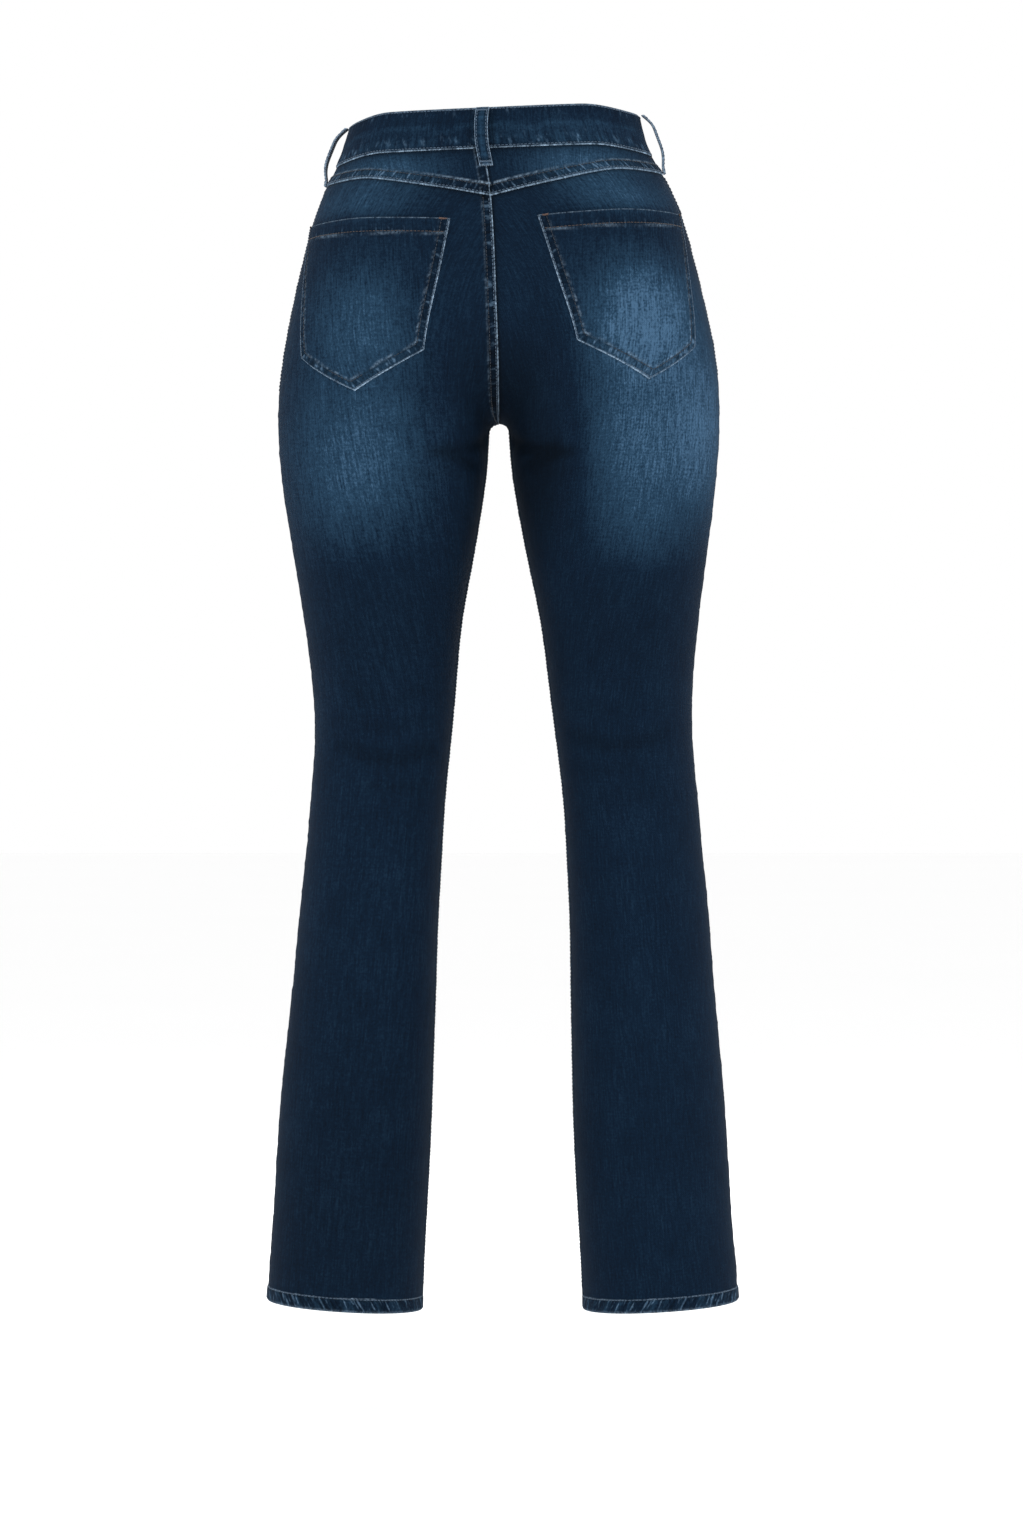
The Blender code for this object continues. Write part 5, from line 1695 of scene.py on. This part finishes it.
class Workroom:
    """Makes the pieces of the pair and sews them."""

    def __init__(self) -> None:
        """Makes the materials and starts the rows of stitches."""
        self.denim = Denim().build()
        self.copper = AntiqueCopper().build()
        self.threads = {
            thread.name: ThreadFinish(thread).build()
            for thread in (NAVY_THREAD, BLUE_THREAD, BROWN_THREAD, COPPER_THREAD)
        }
        self.rows: dict[str, Sewing] = {}

    def thread(self, region: str, thread: Thread) -> Sewing:
        """The stitches of one thread in one region of the garment."""
        name = f"stitches_{region}_{thread.name.split('_')[0]}"
        return self.rows.setdefault(name, Sewing(name, thread))

    def put(self, cloth: Cloth, node: str, slot: str) -> bpy.types.Object:
        piece = cloth.build(self.denim, [node], slot)
        cloth.declare()
        return piece

    def back_panels(self, side: Side) -> None:
        """One back leg panel and its yoke."""
        panel = LegPanel(side, BACK, yoke_line)
        cloth = panel.cloth()
        self.put(cloth, f"back_leg_{side.word}", "indigo_denim")
        top = len(cloth.outer) - 3 if side == LEFT else panel.below_crotch - 2
        for distance, thread in ((panel.fell.edge_row, BLUE_THREAD), (panel.fell.second_row, NAVY_THREAD)):
            line = column_line(cloth, panel.off_inner, distance, slice(2, top))
            self.thread(f"back_{side.word}", thread).sew(*line)
        hip = slice(len(cloth.outer) - 52, len(cloth.outer) - 2)
        self.thread(f"back_{side.word}", NAVY_THREAD).sew(*self._side_line(cloth, panel.off_side, 1.8 * MM, hip))
        yoke = Yoke(side)
        cloth = yoke.cloth()
        self.put(cloth, f"yoke_{side.word}", "indigo_denim")
        for distance, thread in ((yoke.fell.edge_row, BLUE_THREAD), (yoke.fell.second_row, NAVY_THREAD)):
            line = row_line(cloth, yoke.off_edge, distance)
            self.thread(f"yoke_{side.word}", thread).sew(*line)

    @staticmethod
    def _side_line(cloth: Cloth, off_side: Array, distance: float, rows: slice) -> tuple[Array, Array]:
        """The line that keeps a distance from the side seam."""
        index = np.arange(len(off_side))[rows]
        last = off_side.shape[1] - 1
        column = [last - np.interp(distance, off_side[row][::-1], np.arange(last + 1)) for row in index]
        return cloth.trace(index, np.array(column))

    def front_panels(self, side: Side) -> None:
        """One front leg panel and the facing inside its pocket."""
        shares, z = mouth_line(41)
        line = SKIN.level(z, shares, FRONT)
        panel = LegPanel(side, FRONT, lambda across: np.interp(across, shares, z), mouth=line)
        cloth = panel.cloth()
        self.put(cloth, f"front_leg_{side.word}", "indigo_denim")
        facing = PocketFacing(side).cloth()
        self.put(facing, f"pocket_facing_{side.word}", "indigo_denim")
        start = int(np.interp(shares[0], np.linspace(0, 1, cloth.outer.shape[1]), np.arange(cloth.outer.shape[1])))
        columns = np.arange(start + 1, cloth.outer.shape[1] - 1)
        for distance, thread in ((1.9 * MM, BLUE_THREAD), (7.6 * MM, NAVY_THREAD)):
            below = np.linalg.norm(cloth.outer[-30:] - cloth.outer[-1:], axis=-1)[::-1]
            row = [len(cloth.outer) - 1 - np.interp(distance, below[:, c], np.arange(30)) for c in columns]
            self.thread(f"front_{side.word}", thread).sew(*cloth.trace(np.array(row), columns))

    def pocket(self, side: Side) -> None:
        """One back pocket with its rows of stitches and its tacks."""
        pocket = BackPocket(side)
        cloth = pocket.cloth()
        self.put(cloth, f"back_pocket_{side.word}", "worn_denim")
        last = pocket.columns - 1
        region = f"pocket_{side.word}"
        for distance, thread in ((pocket.edge_row, BLUE_THREAD), (pocket.second_row, NAVY_THREAD)):
            inner, outer, low = self._pocket_path(pocket, distance)
            path = np.concatenate([inner, low, outer[::-1]])
            self.thread(region, thread).sew(*cloth.trace(path[:, 0], path[:, 1]))
        row = self._row_at(pocket.off_top, pocket.hem)
        columns = np.arange(3, last - 2)
        self.thread(region, BROWN_THREAD).sew(*cloth.trace(row[columns], columns))
        for column, way in ((1, 2), (last - 1, -2)):
            for place in (column + 1.5 * np.sign(way),):
                middle, normal = cloth.trace(1.5, place)
                beside, _ = cloth.trace(1.5, place + way)
                centre = middle + unit(beside - middle) * 4 * MM
                self.thread(region, COPPER_THREAD).tack(centre, beside - middle, normal, 8 * MM, 1.7 * MM)

    @staticmethod
    def _row_at(off_top: Array, distance: float) -> Array:
        """For each column, the row at a distance below the top edge."""
        return np.array([np.interp(distance, column, np.arange(len(column))) for column in off_top.T])

    @staticmethod
    def _pocket_path(pocket: BackPocket, distance: float) -> tuple[Array, Array, Array]:
        """Rows and columns of the line that keeps a distance from the sides and the foot."""
        off = pocket.off
        rows = np.arange(1, pocket.rows)
        half = pocket.columns // 2
        inner, outer = [], []
        for row in rows:
            if off[row, half] <= distance:
                break
            left = np.interp(distance, off[row, : half + 1], np.arange(half + 1))
            right = np.interp(distance, off[row, half:][::-1], np.arange(half, pocket.columns)[::-1])
            if off[row, int(round(left)) + 2] < distance:
                break
            inner.append((row, left))
            outer.append((row, right))
        low = []
        for column in range(pocket.columns):
            values = off[half:, column][::-1]
            if values.max() <= distance:
                continue
            row = pocket.rows - 1 - np.interp(distance, values[: np.argmax(values > distance) + 1],
                                              np.arange(np.argmax(values > distance) + 1))
            low.append((row, column))
        low = np.array([place for place in low if inner[-1][1] < place[1] < outer[-1][1]])
        inner = np.array([place for place in inner if place[0] < low[0][0]])
        outer = np.array([place for place in outer if place[0] < low[-1][0]])
        return inner, outer, low

    def waistband(self) -> None:
        """The band, its rows of stitches and the buttonhole."""
        band = Waistband()
        cloth = band.cloth()
        self.put(cloth, "waistband", "indigo_denim")
        up = np.broadcast_to(band.z - band.z[0], cloth.outer.shape[:2])
        self.thread("waistband", BLUE_THREAD).sew(*row_line(cloth, up, band.edge_row))
        self.thread("waistband", BLUE_THREAD).sew(*row_line(cloth, up, up[-1, 0] - band.edge_row))
        column = np.interp(BUTTON_FROM_CENTRE + 4 * MM, band.along, np.arange(band.columns))
        row = np.interp(BUTTON_Z, band.z[:, 0], np.arange(len(band.z)))
        middle, normal = cloth.trace(row, column)
        beside, _ = cloth.trace(row, column + 1)
        way = unit(beside - middle)
        up_way = np.cross(normal, way)
        turn = np.linspace(0, 2 * math.pi, 90, endpoint=False)[:, None]
        ring = 11 * MM * np.cos(turn) * way + 2.6 * MM * np.sin(turn) * up_way
        out = unit(0.3 * np.cos(turn) * way + np.sin(turn) * up_way)
        centre = middle + ring + normal * 0.1 * MM
        normals = np.tile(normal, (len(turn), 1))
        self.thread("buttonhole", NAVY_THREAD).add(centre - out * 1.1 * MM, centre + out * 1.1 * MM, normals)

    def belt_loops(self) -> None:
        """Five loops with their rows and tacks."""
        front = SKIN.share_at(np.array([FRONT_LOOP_FROM_CENTRE]), np.array([BAND_SEAM]), FRONT)[0]
        loops = (
            BeltLoop("belt_loop_back", 0.0, bulge=1.0),
            BeltLoop("belt_loop_side_left", 1.0),
            BeltLoop("belt_loop_side_right", 3.0),
            BeltLoop("belt_loop_front_left", 2 - front),
            BeltLoop("belt_loop_front_right", 2 + front),
        )
        for loop in loops:
            cloth = loop.cloth()
            self.put(cloth, loop.name, "worn_denim")
            rows = np.arange(1, len(cloth.outer) - 1)
            for column in (2.9, 9.1):
                self.thread("loops", BLUE_THREAD).sew(*cloth.trace(rows, column))
            for row in (2.6, len(cloth.outer) - 3.6):
                middle, normal = cloth.trace(row, 6)
                beside, _ = cloth.trace(row, 8)
                self.thread("loops", BLUE_THREAD).tack(middle, beside - middle, normal, 10 * MM, 1.6 * MM)

    def hem(self, side: Side) -> None:
        """One turned hem and its row of stitches."""
        hem = Hem(side)
        cloth = hem.cloth()
        self.put(cloth, f"hem_{side.word}", "indigo_denim")
        line, normals = row_line(cloth, hem.down[::-1], 1.7 * MM)
        columns = np.arange(hem.columns)
        row = len(hem.down) - 1 - np.interp(1.7 * MM, hem.down[::-1, 0], np.arange(len(hem.down)))
        line, normals = cloth.trace(np.full(hem.columns, row), columns)
        closed = np.concatenate([line, line[:1]]), np.concatenate([normals, normals[:1]])
        self.thread(f"hem_{side.word}", BLUE_THREAD).sew(*closed)

    def fly(self) -> None:
        """The fly with its hooked double row."""
        fly = Fly()
        cloth = fly.cloth()
        self.put(cloth, "fly_flap", "indigo_denim")
        for distance, thread in ((2.2 * MM, BLUE_THREAD), (8 * MM, NAVY_THREAD)):
            last = cloth.outer.shape[1] - 1
            rows = [r for r in range(1, len(cloth.outer) - 1) if fly.from_edge[r, 0] > distance + MM]
            columns = [last - np.interp(distance, fly.from_edge[r][::-1], np.arange(last + 1)) for r in rows]
            self.thread("fly", thread).sew(*cloth.trace(np.array(rows), np.array(columns)))

    def finish(self) -> None:
        """Makes the stitches."""
        for sewing in self.rows.values():
            sewing.build(self.threads[sewing.thread.name], "worn_denim")


# The studio

PHOTO_DISTANCE = 4.5
PHOTO_HEIGHT = 1.391            # what the picture's height takes in at the jeans (m)
SENSOR = 36.0
CAMERA_X = -0.0149
CAMERA_Z = -0.5828
FLOOR_Z = -1.17


@dataclass(frozen=True)
class Lamp:
    """A soft box: where it stands, its size, power and colour."""

    name: str
    place: tuple[float, float, float]
    size: tuple[float, float]
    power: float
    colour: str = "#ffffff"

    def build(self, target: Vector) -> None:
        """Puts the lamp up, turned to the target."""
        light = bpy.data.lights.new(self.name, "AREA")
        light.shape = "RECTANGLE"
        light.size, light.size_y = self.size
        light.energy = self.power
        light.color = linear(self.colour)[:3]
        lamp = bpy.data.objects.new(self.name, light)
        lamp.location = self.place
        lamp.rotation_euler = (target - lamp.location).to_track_quat("-Z", "Y").to_euler()
        bpy.context.scene.collection.objects.link(lamp)


LAMPS = (
    Lamp("soft_box_above", (0.4, 2.6, 1.5), (2.0, 1.4), 42),
    Lamp("soft_box_left", (2.6, 1.0, -0.2), (1.0, 2.2), 22, "#f2f6ff"),
    Lamp("soft_box_right", (-2.6, 1.0, -0.2), (1.0, 2.2), 26, "#f2f6ff"),
    Lamp("soft_box_front", (0.0, -2.8, 1.2), (2.0, 1.4), 42),
)


class Studio:
    """The pale floor, the soft light and the camera."""

    def build(self) -> None:
        """Puts them up."""
        self._floor()
        self._world()
        bpy.context.scene.view_settings.view_transform = "Standard"
        middle = Vector((CAMERA_X, 0, CAMERA_Z))
        for lamp in LAMPS:
            lamp.build(middle)
        camera = bpy.data.cameras.new("camera")
        camera.sensor_width = SENSOR
        camera.lens = SENSOR * PHOTO_DISTANCE / PHOTO_HEIGHT
        camera.clip_end = 100
        holder = bpy.data.objects.new("camera", camera)
        holder.location = (CAMERA_X, PHOTO_DISTANCE, CAMERA_Z)
        holder.rotation_euler = (math.radians(90), 0, math.radians(180))
        bpy.context.scene.collection.objects.link(holder)
        bpy.context.scene.camera = holder

    def _floor(self) -> None:
        """A wide plain floor."""
        mesh = bpy.data.meshes.new("floor")
        reach = 30.0
        corners = [(-reach, -reach, 0), (reach, -reach, 0), (reach, reach, 0), (-reach, reach, 0)]
        mesh.from_pydata(corners, [], [(0, 1, 2, 3)])
        material, tree, shader = new_material("studio_floor")
        # Painted smooth and almost white, with a trace of unevenness
        place = add_node(tree, "ShaderNodeTexCoord").outputs["Object"]
        patch = noise(tree, place, (0.8, 0.8, 0.8), 2)
        share = calc(tree, "MULTIPLY_ADD", patch, 0.3, 0.5, clamp=True)
        tree.links.new(blend(tree, share, linear("#fbfbfb"), linear("#ffffff")), shader.inputs["Base Color"])
        shader.inputs["Roughness"].default_value = 0.9
        shader.inputs["Specular IOR Level"].default_value = 0.1
        mesh.materials.append(material)
        floor = bpy.data.objects.new("floor", mesh)
        floor.location.z = FLOOR_Z
        bpy.context.scene.collection.objects.link(floor)

    def _world(self) -> None:
        """An even pale surround."""
        world = bpy.data.worlds.new("studio")
        world.use_nodes = True
        background = world.node_tree.nodes["Background"]
        background.inputs["Color"].default_value = linear("#ffffff")
        background.inputs["Strength"].default_value = 1.0
        bpy.context.scene.world = world


def main() -> None:
    """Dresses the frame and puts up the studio."""
    logging.basicConfig(level=logging.INFO, format="%(name)s: %(message)s")
    room = Workroom()
    for side in Side:
        room.back_panels(side)
        room.front_panels(side)
        room.pocket(side)
        room.hem(side)
    room.fly()
    room.waistband()
    room.belt_loops()
    Button().build(room.copper)
    room.finish()
    Studio().build()


if __name__ == "__main__":
    main()
